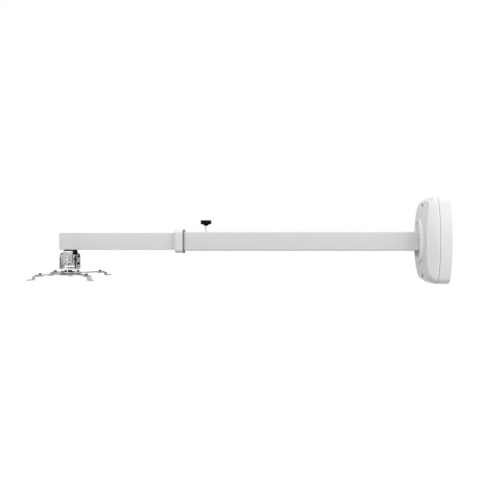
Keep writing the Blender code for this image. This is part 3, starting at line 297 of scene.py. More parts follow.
def rounded_path(corners, radius):
    """Corner points joined by straight runs, with arcs of one radius at the inner corners.

    An arc's centre lies on the bisector, at the radius over the sine of half the angle.
    """
    corners = np.array(corners, dtype=float)
    path = [corners[:1]]
    for before, corner, after in zip(corners, corners[1:], corners[2:]):
        back = unit(before - corner)
        ahead = unit(after - corner)
        half = math.acos(back @ ahead) / 2
        centre = corner + unit(back + ahead) * radius / math.sin(half)
        start, end = (corner + way * radius / math.tan(half) - centre for way in (back, ahead))
        first = math.atan2(start[1], start[0])
        sweep = math.atan2(start[0] * end[1] - start[1] * end[0], start @ end)
        path.append(centre + polar(radius, first + sweep * np.linspace(0, 1, BEND_STEPS + 1)))
    return np.concatenate(path + [corners[-1:]])


def sheet_outline(corners, thickness, radius):
    """Edge of a folded sheet: its middle line moved half a thickness to either side."""
    path = rounded_path(corners, radius)
    run = np.gradient(path, axis=0)
    run /= np.linalg.norm(run, axis=1, keepdims=True)
    side = np.stack([-run[:, 1], run[:, 0]], axis=-1) * thickness / 2
    return np.concatenate([path + side, (path - side)[::-1]])


def bore_mesh(radius, centre, axis, low, high, flare=0.0):
    """A cutter for a round hole, from low to high on its axis, with a flare of 45 degrees there."""
    profile = [(radius, low), (radius, high - flare)]
    if flare:
        profile.append((radius + 4 * flare, high + 3 * flare))
    return mesh_from_grid("bore", placed(turned_grid(profile), centre, axis))


# Materials


def shader_of(name, colour, roughness, metallic=0.0):
    """A Principled material with its plain values set, its shader and its node tree."""
    material = bpy.data.materials.new(name)
    material.use_nodes = True
    shader = material.node_tree.nodes["Principled BSDF"]
    shader.inputs["Base Color"].default_value = (*colour, 1)
    shader.inputs["Roughness"].default_value = roughness
    shader.inputs["Metallic"].default_value = metallic
    return material, shader, material.node_tree


def noise_field(tree, scale, detail=3.0, stretch=(1, 1, 1)):
    """Noise on Object coordinates, cells of 1 / scale metres, stretched along the axes."""
    place = tree.nodes.new("ShaderNodeTexCoord")
    mapping = tree.nodes.new("ShaderNodeMapping")
    mapping.inputs["Scale"].default_value = stretch
    noise = tree.nodes.new("ShaderNodeTexNoise")
    noise.inputs["Scale"].default_value = scale
    noise.inputs["Detail"].default_value = detail
    tree.links.new(place.outputs["Object"], mapping.inputs["Vector"])
    tree.links.new(mapping.outputs["Vector"], noise.inputs["Vector"])
    return noise.outputs["Fac"]


# Noise lies mostly between these two values, so a range or a ramp is spread over them
NOISE_LOW = 0.3
NOISE_HIGH = 0.7


def ranged(tree, field, low, high, start=NOISE_LOW, end=NOISE_HIGH):
    """A field from start to end mapped to values from low to high."""
    node = tree.nodes.new("ShaderNodeMapRange")
    node.inputs["From Min"].default_value = start
    node.inputs["From Max"].default_value = end
    node.inputs["To Min"].default_value = low
    node.inputs["To Max"].default_value = high
    tree.links.new(field, node.inputs["Value"])
    return node.outputs["Result"]


def two_tones(tree, field, first, second):
    """A colour between two tones, by a noise field."""
    node = tree.nodes.new("ShaderNodeValToRGB")
    stops = node.color_ramp.elements
    for stop, place, tone in zip(stops, (NOISE_LOW, NOISE_HIGH), (first, second)):
        stop.position = place
        stop.color = (*tone, 1)
    tree.links.new(field, node.inputs["Fac"])
    return node.outputs["Color"]


def bumped(tree, shader, field, strength, distance):
    """Fine relief from a field."""
    bump = tree.nodes.new("ShaderNodeBump")
    bump.inputs["Strength"].default_value = strength
    bump.inputs["Distance"].default_value = distance
    tree.links.new(field, bump.inputs["Height"])
    tree.links.new(bump.outputs["Normal"], shader.inputs["Normal"])


def scaled(colour, share):
    """A colour made lighter or darker by a share of itself."""
    return tuple(min(1, part * share) for part in colour)


def powder_coat(name, colour):
    """Satin powder coat: a fine orange peel and a faint change of tone along the metal."""
    material, shader, tree = shader_of(name, colour, 0.42)
    tones = two_tones(tree, noise_field(tree, 9, 2), scaled(colour, 0.985), scaled(colour, 1.015))
    tree.links.new(tones, shader.inputs["Base Color"])
    tree.links.new(ranged(tree, noise_field(tree, 160), 0.36, 0.48), shader.inputs["Roughness"])
    bumped(tree, shader, noise_field(tree, 620, 2), 0.12, 0.4 * MM)
    return material


def moulded_plastic(name, colour, roughness, grain=1500, depth=0.1, gloss=0.5):
    """Moulded plastic with a fine eroded grain and slight sink shading."""
    material, shader, tree = shader_of(name, colour, roughness)
    shader.inputs["Specular IOR Level"].default_value = gloss
    tones = two_tones(tree, noise_field(tree, 22, 2), scaled(colour, 0.985), scaled(colour, 1.01))
    tree.links.new(tones, shader.inputs["Base Color"])
    matt = ranged(tree, noise_field(tree, 300), roughness - 0.05, roughness + 0.06)
    tree.links.new(matt, shader.inputs["Roughness"])
    bumped(tree, shader, noise_field(tree, grain, 2), depth, 0.3 * MM)
    return material


def rolled_surface(tree, shader, smoothest, roughest):
    """The surface of plated sheet: a bloom of uneven gloss and faint rolling lines."""
    bloom = ranged(tree, noise_field(tree, 260, 4), smoothest, roughest)
    tree.links.new(bloom, shader.inputs["Roughness"])
    bumped(tree, shader, noise_field(tree, 700, 3, (0.15, 1, 1)), 0.08, 0.2 * MM)


def plated_steel(name, colour, roughness, blotch):
    """Zinc plate on rolled sheet, with soft blotches that are darker by the share blotch."""
    material, shader, tree = shader_of(name, colour, roughness, 1.0)
    tones = two_tones(tree, noise_field(tree, 90, 4), scaled(colour, 1 - blotch), colour)
    tree.links.new(tones, shader.inputs["Base Color"])
    rolled_surface(tree, shader, roughness - 0.08, roughness + 0.12)
    return material


# Height over the cradle's base in which its bright plate turns to the walls' painted dark reflection
PAINTED_DARK_START = 3 * MM
PAINTED_DARK_END = 7 * MM


def cradle_steel_painted_reflection(name, bright, dull, duller):
    """Zinc plate of the cradle: a bright base, and walls painted darker above the bend as a painted dark
    reflection, with random blotches.
    """
    material, shader, tree = shader_of(name, dull, 0.34, 1.0)
    place = tree.nodes.new("ShaderNodeTexCoord")
    parts = tree.nodes.new("ShaderNodeSeparateXYZ")
    tree.links.new(place.outputs["Object"], parts.inputs[0])
    # Mask of the painted dark reflection: 0 on the base, 1 on the walls above the bend
    base = span("lower_yoke")[0][2]
    height = ranged(tree, parts.outputs["Z"], 0.0, 1.0, base + PAINTED_DARK_START, base + PAINTED_DARK_END)
    mix = tree.nodes.new("ShaderNodeMix")
    mix.data_type = "RGBA"
    tree.links.new(height, mix.inputs["Factor"])
    low_tone, high_tone = (socket for socket in mix.inputs if socket.type == "RGBA")
    low_tone.default_value = (*bright, 1)
    tree.links.new(two_tones(tree, noise_field(tree, 90, 4), duller, dull), high_tone)
    shown = next(socket for socket in mix.outputs if socket.type == "RGBA")
    tree.links.new(shown, shader.inputs["Base Color"])
    rolled_surface(tree, shader, 0.26, 0.46)
    return material


def black_oxide(name, worn, deep):
    """Blackened screw steel with worn grey patches."""
    material, shader, tree = shader_of(name, worn, 0.38, 0.7)
    shader.inputs["Specular IOR Level"].default_value = 0.3
    tones = two_tones(tree, noise_field(tree, 500, 4), deep, worn)
    tree.links.new(tones, shader.inputs["Base Color"])
    tree.links.new(ranged(tree, noise_field(tree, 900), 0.3, 0.5), shader.inputs["Roughness"])
    return material


PAINT = powder_coat("arm_powder_coat", (0.635, 0.635, 0.627))
INNER_PAINT = powder_coat("inner_powder_coat", (0.64, 0.637, 0.625))
FOOT_PAINT = powder_coat("foot_powder_coat", (0.36, 0.36, 0.358))
PRIMER = powder_coat("grey_primer", (0.3, 0.3, 0.3))
COVER = moulded_plastic("cover_plastic", (0.76, 0.76, 0.755), 0.36)
COLLAR = moulded_plastic("collar_plastic", (0.665, 0.665, 0.656), 0.4)
BLACK = moulded_plastic("black_plastic", (0.004, 0.004, 0.004), 0.42, 2200, 0.2, gloss=0.04)
RUBBER = moulded_plastic("black_rubber", (0.012, 0.012, 0.012), 0.72, 900, 0.25, gloss=0.3)
GASKET = moulded_plastic("gasket_foam", (0.12, 0.12, 0.12), 0.8, 900, 0.25, gloss=0.3)
# Dark material that paints the shadow in the cover's seam and screw wells: painted shade, not a part
PAINTED_SHADE = moulded_plastic("well_sleeve", (0.09, 0.09, 0.09), 0.6, gloss=0.3)
ZINC = plated_steel("zinc", (0.47, 0.475, 0.48), 0.3, 0.2)
BRIGHT_ZINC = plated_steel("bright_zinc", (0.74, 0.745, 0.75), 0.25, 0.3)
DULL_ZINC = plated_steel("dull_zinc", (0.33, 0.333, 0.34), 0.38, 0.25)
# Cradle zinc: the walls carry a painted dark reflection above the bend, over a bright base
CRADLE_ZINC = cradle_steel_painted_reflection("cradle_zinc", (0.66, 0.665, 0.67), (0.28, 0.282, 0.287), (0.2, 0.202, 0.207))
DARK = black_oxide("black_oxide", (0.035, 0.035, 0.037), (0.008, 0.008, 0.009))


# Sizes that several pieces share

GAP = 0.3 * MM
OUTER_CORNER = 4 * MM
INNER_CORNER = 1.5 * MM
SWIVEL_HOLE_R = 5.3 * MM
HUB_HOLE_R = 4.3 * MM
ADJUSTER_HOLE_R = 2.6 * MM
ARM_HOLE_R = 2.8 * MM

# How far a cutter reaches past what it cuts
BEYOND = 5 * MM


# Wall cover: bowed outline, drafted side, domed face and an oval rim round the arm

COVER_MID_W = 65 * MM
COVER_BOW = 20 * MM
COVER_HALF_H = 137 * MM
COVER_CORNER = 24 * MM
COVER_WALL = 2.5 * MM
COVER_RISE = 3 * MM
SEAM_GAP = 1.1 * MM
SEAM_ROLL = 3.2 * MM
SEAM_DROP = 1.0 * MM
SEAM_FLAT = 0.8 * MM
EDGE_ROUND = 0.8 * MM
TONGUE_RUN = 4 * MM
TONGUE_T = 1.0 * MM
FACE_DEPTH = 78 * MM
FACE_DOME = 3 * MM
FACE_ARCH = 17 * MM
FACE_BOW = 7 * MM
FACE_DRAFT = 11 * MM
FACE_FILLET = 4 * MM
RIM_HALF_W = 27 * MM
RIM_HALF_H = 67 * MM
RIM_PROUD = 8.5 * MM
RIM_BAND = 3 * MM
RIM_CREST = RIM_BAND / 2
RIM_FLANK = 2 * MM
FLOOR_PROUD = 1 * MM
FLOOR_MIDDLE = (10 * MM, 15 * MM)
ARM_CLEAR = 0.6 * MM
SCREW_Z = 112 * MM
SCREW_HOLE_R = 2.3 * MM
CUP_DEPTH = 5.5 * MM
CUP_FLOOR = 2.5 * MM
CUP_WALL = 2 * MM
WELL_R = 4.9 * MM
WELL_FLARE = 0.8 * MM
WELL_LIP = 0.4 * MM
COVER_SMOOTH = 40

# Margins by which the faces that get the painted shade are picked
TONGUE_MARGIN = 0.1 * MM
WELL_MARGIN = 0.2 * MM

# Points along a quarter of the outline, and rings of each stretch of the surface
OUTLINE_SIDE = 22
OUTLINE_CORNER = 12
OUTLINE_END = 8
SIDE_RINGS = 12
FACE_RINGS = 12
FILLET_RINGS = 9
ROLL_RINGS = 7
FLANK_RINGS = 7
CREST_RINGS = 11

# Share of the side's run from which the inner skin follows the outer one
INNER_START = 0.35


def cover_outline(inset, face=0.0):
    """Half width falls with the square of the height; corners are arcs that start at the sides' lean.

    The sides bow less, and the corners stay rounder, as face goes from 0 at the seam to 1.
    """
    half_height = COVER_HALF_H - inset
    bow = COVER_BOW + (FACE_BOW - COVER_BOW) * face
    corner = max(COVER_CORNER - inset * (1 - face), COVER_WALL)
    lean = math.atan(2 * bow / COVER_HALF_H)
    reach = half_height - corner * (1 - math.sin(lean))
    rise = np.linspace(0, reach, OUTLINE_SIDE, endpoint=False)

    def width(z):
        return COVER_MID_W - inset - bow * (z / COVER_HALF_H) ** 2

    centre_y = width(reach) - corner * math.cos(lean)
    centre_z = reach - corner * math.sin(lean)
    turn = np.linspace(lean, math.pi / 2, OUTLINE_CORNER + 1)
    across = centre_y * (1 - np.arange(1, OUTLINE_END + 1) / OUTLINE_END)
    y = np.concatenate([width(rise), centre_y + corner * np.cos(turn), across])
    z = np.concatenate([rise, centre_z + corner * np.sin(turn), np.full(OUTLINE_END, half_height)])
    y = np.concatenate([y[:-1], -y[:0:-1], -y[:-1], y[:0:-1]])
    z = np.concatenate([z[:-1], z[:0:-1], -z[:-1], -z[:0:-1]])
    return np.stack([y, z], axis=-1)


def oval(half_w, half_h):
    """Ellipse about the arm, its points in the directions of the cover's outline."""
    outline = cover_outline(0)
    angle = np.arctan2(outline[:, 1] / COVER_HALF_H, outline[:, 0] / COVER_MID_W)
    return np.stack([half_w * np.cos(angle), half_h * np.sin(angle) - COVER_RISE], axis=-1)


def rim_oval(out):
    """The rim's ellipse, larger all round by out."""
    return oval(RIM_HALF_W + out, RIM_HALF_H + out)


def crown_x(points):
    """Depth of the face's middle line: it falls back with the cube of the height."""
    return -FACE_DEPTH + FACE_ARCH * np.abs(points[:, 1] / COVER_HALF_H) ** 3


def face_x(points):
    """Depth of the front face: the middle line, and a parabola across."""
    half = COVER_MID_W - FACE_DRAFT
    return crown_x(points) + FACE_DOME * (points[:, 0] / half) ** 2


def cover_row(points, x):
    """One ring of the cover at depth x, lifted to the cover's middle."""
    row = np.empty((len(points), 3))
    row[:, 0] = x
    row[:, 1] = points[:, 0]
    row[:, 2] = points[:, 1] + COVER_RISE
    return row


def seam_roll(seam, way):
    """Quarter ellipse from the seam's edge to the full outline, along x in the direction of way."""
    rows = [cover_row(cover_outline(inset), seam + way * run)
            for inset, run in rounding(SEAM_DROP, SEAM_ROLL, ROLL_RINGS)]
    return rows + [cover_row(cover_outline(0), seam + way * (SEAM_ROLL + SEAM_FLAT))]


def side_row(share, start, inset):
    """A ring of the drafted side, at a share of its run: the draft grows with the power 1.5 of the share."""
    lean = share ** 1.5
    ring = cover_outline(FACE_DRAFT * lean + inset, lean)
    return cover_row(ring, start + (face_x(ring) + FACE_FILLET - start) * share)


def face_rows(base):
    """The fillet round the face, a quarter circle, and the domed face itself as far as the rim's base."""
    rows = []
    for depth, inset in rounding(FACE_FILLET, FACE_FILLET, FILLET_RINGS)[1:]:
        ring = cover_outline(FACE_DRAFT + inset, 1)
        rows.append(cover_row(ring, face_x(ring) + depth))
    edge = cover_outline(FACE_DRAFT + FACE_FILLET, 1)
    for share in np.linspace(0, 1, FACE_RINGS)[1:]:
        ring = edge + (base - edge) * share
        rows.append(cover_row(ring, face_x(ring)))
    return rows


def rim_rows():
    """The oval rim: a steep flank, a half round crest, and a wall that curves into the floor."""
    rows = []
    flank_h = RIM_PROUD - RIM_CREST
    for share in np.linspace(0, 1, FLANK_RINGS)[:-1]:
        ring = rim_oval(RIM_FLANK / 2 * (1 - share))
        rows.append(cover_row(ring, crown_x(ring) - flank_h * share))
    for turn in np.linspace(0, math.pi, CREST_RINGS):
        ring = rim_oval(-RIM_CREST * (1 - math.cos(turn)))
        rows.append(cover_row(ring, crown_x(ring) - RIM_PROUD + RIM_CREST * (1 - math.sin(turn))))
    for share in (0.5, 0.85, 1.0):
        ring = rim_oval(-RIM_BAND - RIM_FLANK / 2 * share ** 2)
        rows.append(cover_row(ring, crown_x(ring) - flank_h * (1 - share) - FLOOR_PROUD * share))
    return rows


def front_cover_grid(seam):
    """Rings from the seam over the drafted side, fillet, face, rim and floor, then back inside."""
    start = seam - SEAM_ROLL
    shares = np.linspace(0, 1, SIDE_RINGS)[1:]
    base = rim_oval(RIM_FLANK)
    middle = oval(*FLOOR_MIDDLE)
    floor_x = crown_x(middle) - FLOOR_PROUD
    outer = seam_roll(seam, -1) + [side_row(share, start, 0) for share in shares]
    outer += face_rows(base) + rim_rows() + [cover_row(middle, floor_x)]

    rebate = cover_outline(COVER_WALL - TONGUE_T - GAP)
    rebate_x = seam + SEAM_GAP - TONGUE_RUN - GAP
    inner = [cover_row(rebate, seam), cover_row(rebate, rebate_x)]
    inner.append(cover_row(cover_outline(COVER_WALL), rebate_x))
    inner += [side_row(share, start, COVER_WALL) for share in shares if share > INNER_START]
    edge = cover_outline(FACE_DRAFT + FACE_FILLET + COVER_WALL, 1)
    for share in (0.0, 0.5, 1.0):
        ring = edge + (base - edge) * share
        inner.append(cover_row(ring, face_x(ring) + COVER_WALL))
    inner.append(cover_row(middle, floor_x + COVER_WALL))
    return np.stack(outer + inner[::-1])


def rear_cover_grid(low_x, high_x, seam):
    """Rings round a wall of even thickness, with rounded edges and the tongue at the front."""
    tongue = cover_outline(COVER_WALL - TONGUE_T)
    inside = cover_outline(COVER_WALL)
    rows = [cover_row(inside, high_x)]
    for inset, run in rounding(EDGE_ROUND, EDGE_ROUND, 4):
        rows.append(cover_row(cover_outline(inset), high_x - run))
    rows.append(cover_row(cover_outline(0), high_x - 2 * EDGE_ROUND))
    rows += seam_roll(seam, 1)[::-1]
    rows += [cover_row(tongue, seam), cover_row(tongue, low_x), cover_row(inside, low_x)]
    return np.stack(rows)


def paint_shade_on(piece, chosen):
    """Painted shade: the dark material on the faces that chosen picks by the places of their middles,
    standing in for the shadow in the seam and the screw wells.
    """
    faces = piece.data.polygons
    middles = np.empty(len(faces) * 3, dtype=np.float32)
    faces.foreach_get("center", middles)
    piece.data.materials.append(PAINTED_SHADE)
    faces.foreach_set("material_index", chosen(*middles.reshape(-1, 3).T).astype(np.int32))


def rear_cover(low_x, high_x, seam):
    """The half of the plastic cover at the wall, its tongue painted dark as painted shade in the seam."""
    mesh = mesh_from_grid("rear_cover_shell", rear_cover_grid(low_x, high_x, seam), loop_rows=True)
    smooth_by_angle(mesh, COVER_SMOOTH)
    shell = new_piece("rear_cover_shell", mesh, COVER, "wall_end", "rear_cover")
    paint_shade_on(shell, lambda x, y, z: x < seam - TONGUE_MARGIN)


def front_cover(seam):
    """The half of the cover in front, with the arm's opening and a screw cup above and below it."""
    mesh = mesh_from_grid("front_cover_shell", front_cover_grid(seam), loop_rows=True)
    half_u, half_v = half_section("outer_tube") + ARM_CLEAR
    opening = box_outline(half_u, half_v, OUTER_CORNER + ARM_CLEAR)
    steps = [(CUT, plate_mesh("opening", opening, "YZ", -FACE_DEPTH - BEYOND, seam))]
    floor_x = -FACE_DEPTH + FACE_ARCH * (SCREW_Z / COVER_HALF_H) ** 3 + CUP_DEPTH
    cup_r = WELL_R + CUP_WALL
    for side in (1, -1):
        seat = (floor_x, 0, side * SCREW_Z + COVER_RISE)
        cup = turned_grid([(cup_r, -CUP_FLOOR), (cup_r, CUP_DEPTH - COVER_WALL)])
        steps += [
            (JOIN, mesh_from_grid("cup", placed(cup, seat, OFF_WALL))),
            (CUT, bore_mesh(WELL_R, seat, OFF_WALL, 0, CUP_DEPTH - WELL_LIP, WELL_FLARE)),
            (CUT, bore_mesh(SCREW_HOLE_R, seat, OFF_WALL, -CUP_FLOOR - MM, MM)),
        ]
    mesh = carved(mesh, steps)
    smooth_by_angle(mesh, COVER_SMOOTH)
    shell = new_piece("front_cover_shell", mesh, COVER, "wall_end", "front_cover")

    def in_well(x, y, z):
        off = np.hypot(y, np.abs(z - COVER_RISE) - SCREW_Z)
        return (off < WELL_R + WELL_MARGIN) & (x > floor_x - CUP_DEPTH + MM) & (x < floor_x + MM)

    # Painted shade in the screw wells: their walls get the dark material in place of their shadow
    paint_shade_on(shell, in_well)


def wall_cover():
    """Both halves of the cover, a seam apart."""
    low, high = span("rear_cover")
    seam = low[0] + TONGUE_RUN
    rear_cover(low[0], high[0], seam)
    front_cover(seam - SEAM_GAP)


# Tubes, collar, gasket and end cap

OUTER_WALL = 2.5 * MM
OUTER_EDGE = 0.4 * MM
INNER_WALL = 2 * MM
INNER_EDGE = 0.3 * MM
CLAMP_HOLE_R = 3.3 * MM
COLLAR_CORNER = 11 * MM
COLLAR_NOSE = 3.5 * MM
COLLAR_EDGE = 0.5 * MM
CAP_NOSE = 4 * MM
PLUG_CLEAR = 2.3 * MM
PLUG_WALL = 2 * MM
PLUG_FLOOR = 4 * MM


def ring_at(half_u, half_v, corner, x):
    """One ring of a form along x: a rectangle with round corners at depth x."""
    return raised(box_outline(half_u, half_v, corner), "YZ", [x])[0]


def end_rings(outer, x, way, edge, count):
    """Rings of a box's round end edge, from the end face at x to the full outline."""
    half_u, half_v, corner = outer
    return [ring_at(half_u - inset, half_v - inset, max(corner - inset, 0.5 * MM), x + way * run)
            for inset, run in rounding(edge, edge, count)]


def box_tube(node, wall, corners, edge, bore, material, body):
    """A tube along x with its end edges broken by a small radius, and one bore."""
    low, high = span(node)
    half_u, half_v = half_section(node)
    outer = (half_u, half_v, corners[0])
    inner = (half_u - wall, half_v - wall, corners[1])
    rows = end_rings(outer, low[0], 1, edge, 4) + end_rings(outer, high[0], -1, edge, 4)[::-1]
    rows += [ring_at(*inner, high[0]), ring_at(*inner, low[0])]
    name = node.replace("_tube", "_box_tube")
    mesh = carved(mesh_from_grid(name, np.stack(rows), loop_rows=True), [(CUT, bore)])
    new_piece(name, mesh, material, body, node)


def arm_tubes():
    """Outer tube with the clamp's threaded hole on top, and inner tube with the swivel's hole below."""
    stud_low, stud_high = span("clamp_stud")
    seat = ((stud_low[0] + stud_high[0]) / 2, 0, span("outer_tube")[1][2])
    bore = bore_mesh(CLAMP_HOLE_R, seat, UP, -OUTER_WALL - MM, 0.2 * MM, flare=0.3 * MM)
    corners = (OUTER_CORNER, OUTER_CORNER - OUTER_WALL)
    box_tube("outer_tube", OUTER_WALL, corners, OUTER_EDGE, bore, PAINT, "wall_end")
    seat = (HEAD_X, 0, span("inner_tube")[0][2])
    bore = bore_mesh(SWIVEL_HOLE_R, seat, UP, -MM, INNER_WALL + MM)
    corners = (INNER_CORNER, INNER_CORNER / 2)
    box_tube("inner_tube", INNER_WALL, corners, INNER_EDGE, bore, INNER_PAINT, "slider")


def frame_piece(name, node, corner, nose, inner_rows, material):
    """A frame round the arm: round outer edges at both ends, then its opening's rows from far to near."""
    low, high = span(node)
    outer = (*half_section(node), corner)
    rows = end_rings(outer, low[0], 1, nose, 7) + end_rings(outer, high[0], -1, COLLAR_EDGE, 5)[::-1]
    rows += [ring_at(*section, x) for section, x in inner_rows]
    mesh = mesh_from_grid(name, np.stack(rows), loop_rows=True)
    smooth_by_angle(mesh)
    new_piece(name, mesh, material, "wall_end", node)


def collar_and_gasket():
    """Plastic end collar, with its lip round the inner tube, and the thin black gasket behind it."""
    seat = (*(half_section("outer_tube") + GAP), OUTER_CORNER)
    guide = (*(half_section("inner_tube") + GAP), INNER_CORNER)
    lip_x = span("outer_tube")[0][0] - GAP
    low, high = span("collar")
    rows = [(seat, high[0]), (seat, lip_x), (guide, lip_x), (guide, low[0])]
    frame_piece("end_collar", "collar", COLLAR_CORNER, COLLAR_NOSE, rows, COLLAR)
    low, high = span("collar_gasket")
    rows = [(seat, high[0]), (seat, low[0])]
    corner = COLLAR_CORNER + MM
    frame_piece("gasket_frame", "collar_gasket", corner, COLLAR_EDGE, rows, GASKET)


def tube_cap():
    """End cap: a softly rounded front, a flush rim and a plug in the tube."""
    low, high = span("end_cap")
    half_u, half_v = half_section("end_cap")
    shoulder = span("inner_tube")[0][0] - GAP
    rows = [ring_at(half_u - inset, half_v - inset, INNER_CORNER, low[0] + run)
            for inset, run in rounding(CAP_NOSE, CAP_NOSE, 9)]
    plug = (half_u - PLUG_CLEAR, half_v - PLUG_CLEAR, INNER_CORNER / 2)
    hollow = (plug[0] - PLUG_WALL, plug[1] - PLUG_WALL, INNER_CORNER / 2)
    rows += [
        ring_at(half_u, half_v, INNER_CORNER, shoulder),
        ring_at(*plug, shoulder),
        ring_at(*plug, high[0]),
        ring_at(*hollow, high[0]),
        ring_at(*hollow, shoulder - PLUG_FLOOR),
    ]
    mesh = mesh_from_grid("tube_cap", np.stack(rows))
    smooth_by_angle(mesh)
    new_piece("tube_cap", mesh, COLLAR, "slider", "end_cap")


# Screws, nuts, studs and knobs

# Socket screws: radius and length of the shank, radius and height of the head, socket's half width
COVER_SCREW = mm(2, 12, 4, 3, 1.7)
PITCH_PIVOT = mm(3, 5.6, 8, 3.5, 2.6)
PITCH_LOCK_SCREW = mm(2.4, 5.6, 3.6, 3.6, 1.8)
ROLL_PIVOT = mm(3, 5.8, 5.1, 3.6, 2.5)
ROLL_LOCK_SCREW = mm(2.4, 5.8, 3.6, 3.6, 1.8)
FOOT_SCREW = mm(2.4, 5, 4, 4, 1.9)
ARM_SCREW_SHANK = 2.5 * MM
ARM_SCREW_HEAD = mm(4.5, 3.2, 2)

# Hexagon bolts: width across the flats, height of the head, radius of the shank
SMALL_HEX = mm(13, 5.3, 4)
LARGE_HEX = mm(15, 6, 5)
FLANGE_BOLT_LENGTH = 8 * MM

# Threads: radius of the crest, pitch and depth
CLAMP_THREAD = mm(3, 1, 0.55)
ADJUSTER_THREAD = mm(2.3, 0.8, 0.4)
THREAD_FACETS = 24
THREAD_ROWS = 8

# Forms of heads and ends, as shares: a shank's point, by radius and length over radius; a head's crown,
# by its drop over the head's height and its inset over that drop; the socket's widened mouth; and a
# hexagon's chamfer, by its height over the head's and its radius over the flats
POINT_R, POINT_LENGTH = 0.8, 0.2
CROWN_DROP, CROWN_INSET = 0.18, 1.6
SOCKET_MOUTH = 1.12
SOCKET_FLOOR = 0.42
SOCKET_CORNERS = 1.06
CHAMFER_H, CHAMFER_R = 0.16, 0.96
BREAK = 0.4 * MM

# Steel of the screws: material and slot
BLACK_SCREW = (DARK, "dark_steel")
ZINC_SCREW = (ZINC, "zinc")


def threaded_stud(name, node, thread, axle, material, body):
    """A stud whose radius falls by a cosine groove that climbs one pitch a turn and fades at both ends."""
    radius, pitch, depth = thread
    low, high = (corner[2] for corner in span(node))
    rows = max(int((high - low) / pitch * THREAD_ROWS), 4)
    angle = np.arange(THREAD_FACETS) * TAU / THREAD_FACETS
    z, a = np.meshgrid(np.linspace(low, high, rows), angle, indexing="ij")
    groove = 0.5 - 0.5 * np.cos(TAU * z / pitch - a)
    fade = np.clip(np.minimum(z - low, high - z) / pitch, 0, 1)
    reach = radius - depth * groove * fade - 0.2 * radius * (1 - fade) ** 2
    grid = np.concatenate([polar(reach, a), z[..., None]], axis=-1)
    new_piece(name, mesh_from_grid(name, placed(grid, axle)), material, body, node)


def hexagon(angle):
    """A hexagon's radius over the distance of its flats, by angle."""
    return 1 / np.cos(angle % (TAU / 6) - TAU / 12)


def shank_rows(shank, length):
    """A shank below its head: a blunt point, then straight up to the head."""
    return [(shank * POINT_R, -length), (shank, -length + POINT_LENGTH * shank), (shank, 0)]


def cap_head_grid(shank, length, head, height, socket):
    """Screw: shank, flat underside, side, rounded crown and a six-sided socket."""
    edge = CROWN_DROP * height
    profile = shank_rows(shank, length) + [(head - BREAK / 2, 0), (head, BREAK / 2)]
    profile += [(head - inset, height - drop) for drop, inset in rounding(edge, CROWN_INSET * edge, 6)]
    profile += [(socket * SOCKET_MOUTH, height), (socket, height - 0.15 * MM),
                (socket, height * SOCKET_FLOOR), (socket * 0.2, height * (SOCKET_FLOOR - 0.06))]
    grid = turned_grid(profile)
    flats = hexagon(np.arange(ROUND) * TAU / ROUND) * math.cos(TAU / 12)
    grid[-3:, :, :2] *= flats[None, :, None] * SOCKET_CORNERS
    return grid


def hex_grid(across, height, shank=0.0, length=0.0, hole=0.0):
    """Hexagon head or nut with chamfered corners; a shank below, or a hole through.

    Outside its middle, the radius is the least of the profile, the flats and a chamfer cone.
    """
    corner = across / 2 / math.cos(TAU / 12)
    edge = CHAMFER_H * height
    bevel_r = across / 2 * CHAMFER_R

    def reach(radius, angle, z):
        flats = across / 2 * hexagon(angle)
        cone = bevel_r + (corner - bevel_r) * np.clip(np.minimum(height - z, z + edge * 0.9) / edge, 0, 1)
        return np.where(radius < across * 0.4, radius, np.minimum(np.minimum(radius, flats), cone))

    if shank:
        profile = shank_rows(shank, length) + [(corner, 0), (corner, edge / 2)]
    else:
        profile = [(hole, 0), (corner, 0)]
    profile.append((corner, edge))
    profile += [(corner, height - edge * share) for share in (1, 0.6, 0.3, 0)]
    if hole:
        profile += [(hole + BREAK, height), (hole, height - BREAK), (hole, BREAK)]
    else:
        profile.append((across * 0.36, height))
    return turned_grid(profile, reach=reach)


def screw_piece(node, grid, axis, head, finish, body, loop=False):
    """A screw at its CAD place: its head ends where the node ends along the axis."""
    low, high = span(node)
    axis = np.array(axis, dtype=float)
    end = np.where(axis > 0, high, low)
    seat = np.where(axis == 0, (low + high) / 2, end - axis * head)
    mesh = mesh_from_grid(node + "_fine", placed(grid, seat, axis), loop_rows=loop)
    smooth_by_angle(mesh)
    material, slot = finish
    new_piece(node + "_fine", mesh, material, body, node)


def socket_screw(node, sizes, axis, finish, body):
    """A socket screw from its table of sizes."""
    screw_piece(node, cap_head_grid(*sizes), axis, sizes[3], finish, body)


def hex_bolt(node, sizes, length, axis, body):
    """A zinc hexagon bolt from its table of sizes and its shank's length."""
    across, head, shank = sizes
    screw_piece(node, hex_grid(across, head, shank, length), axis, head, ZINC_SCREW, body)


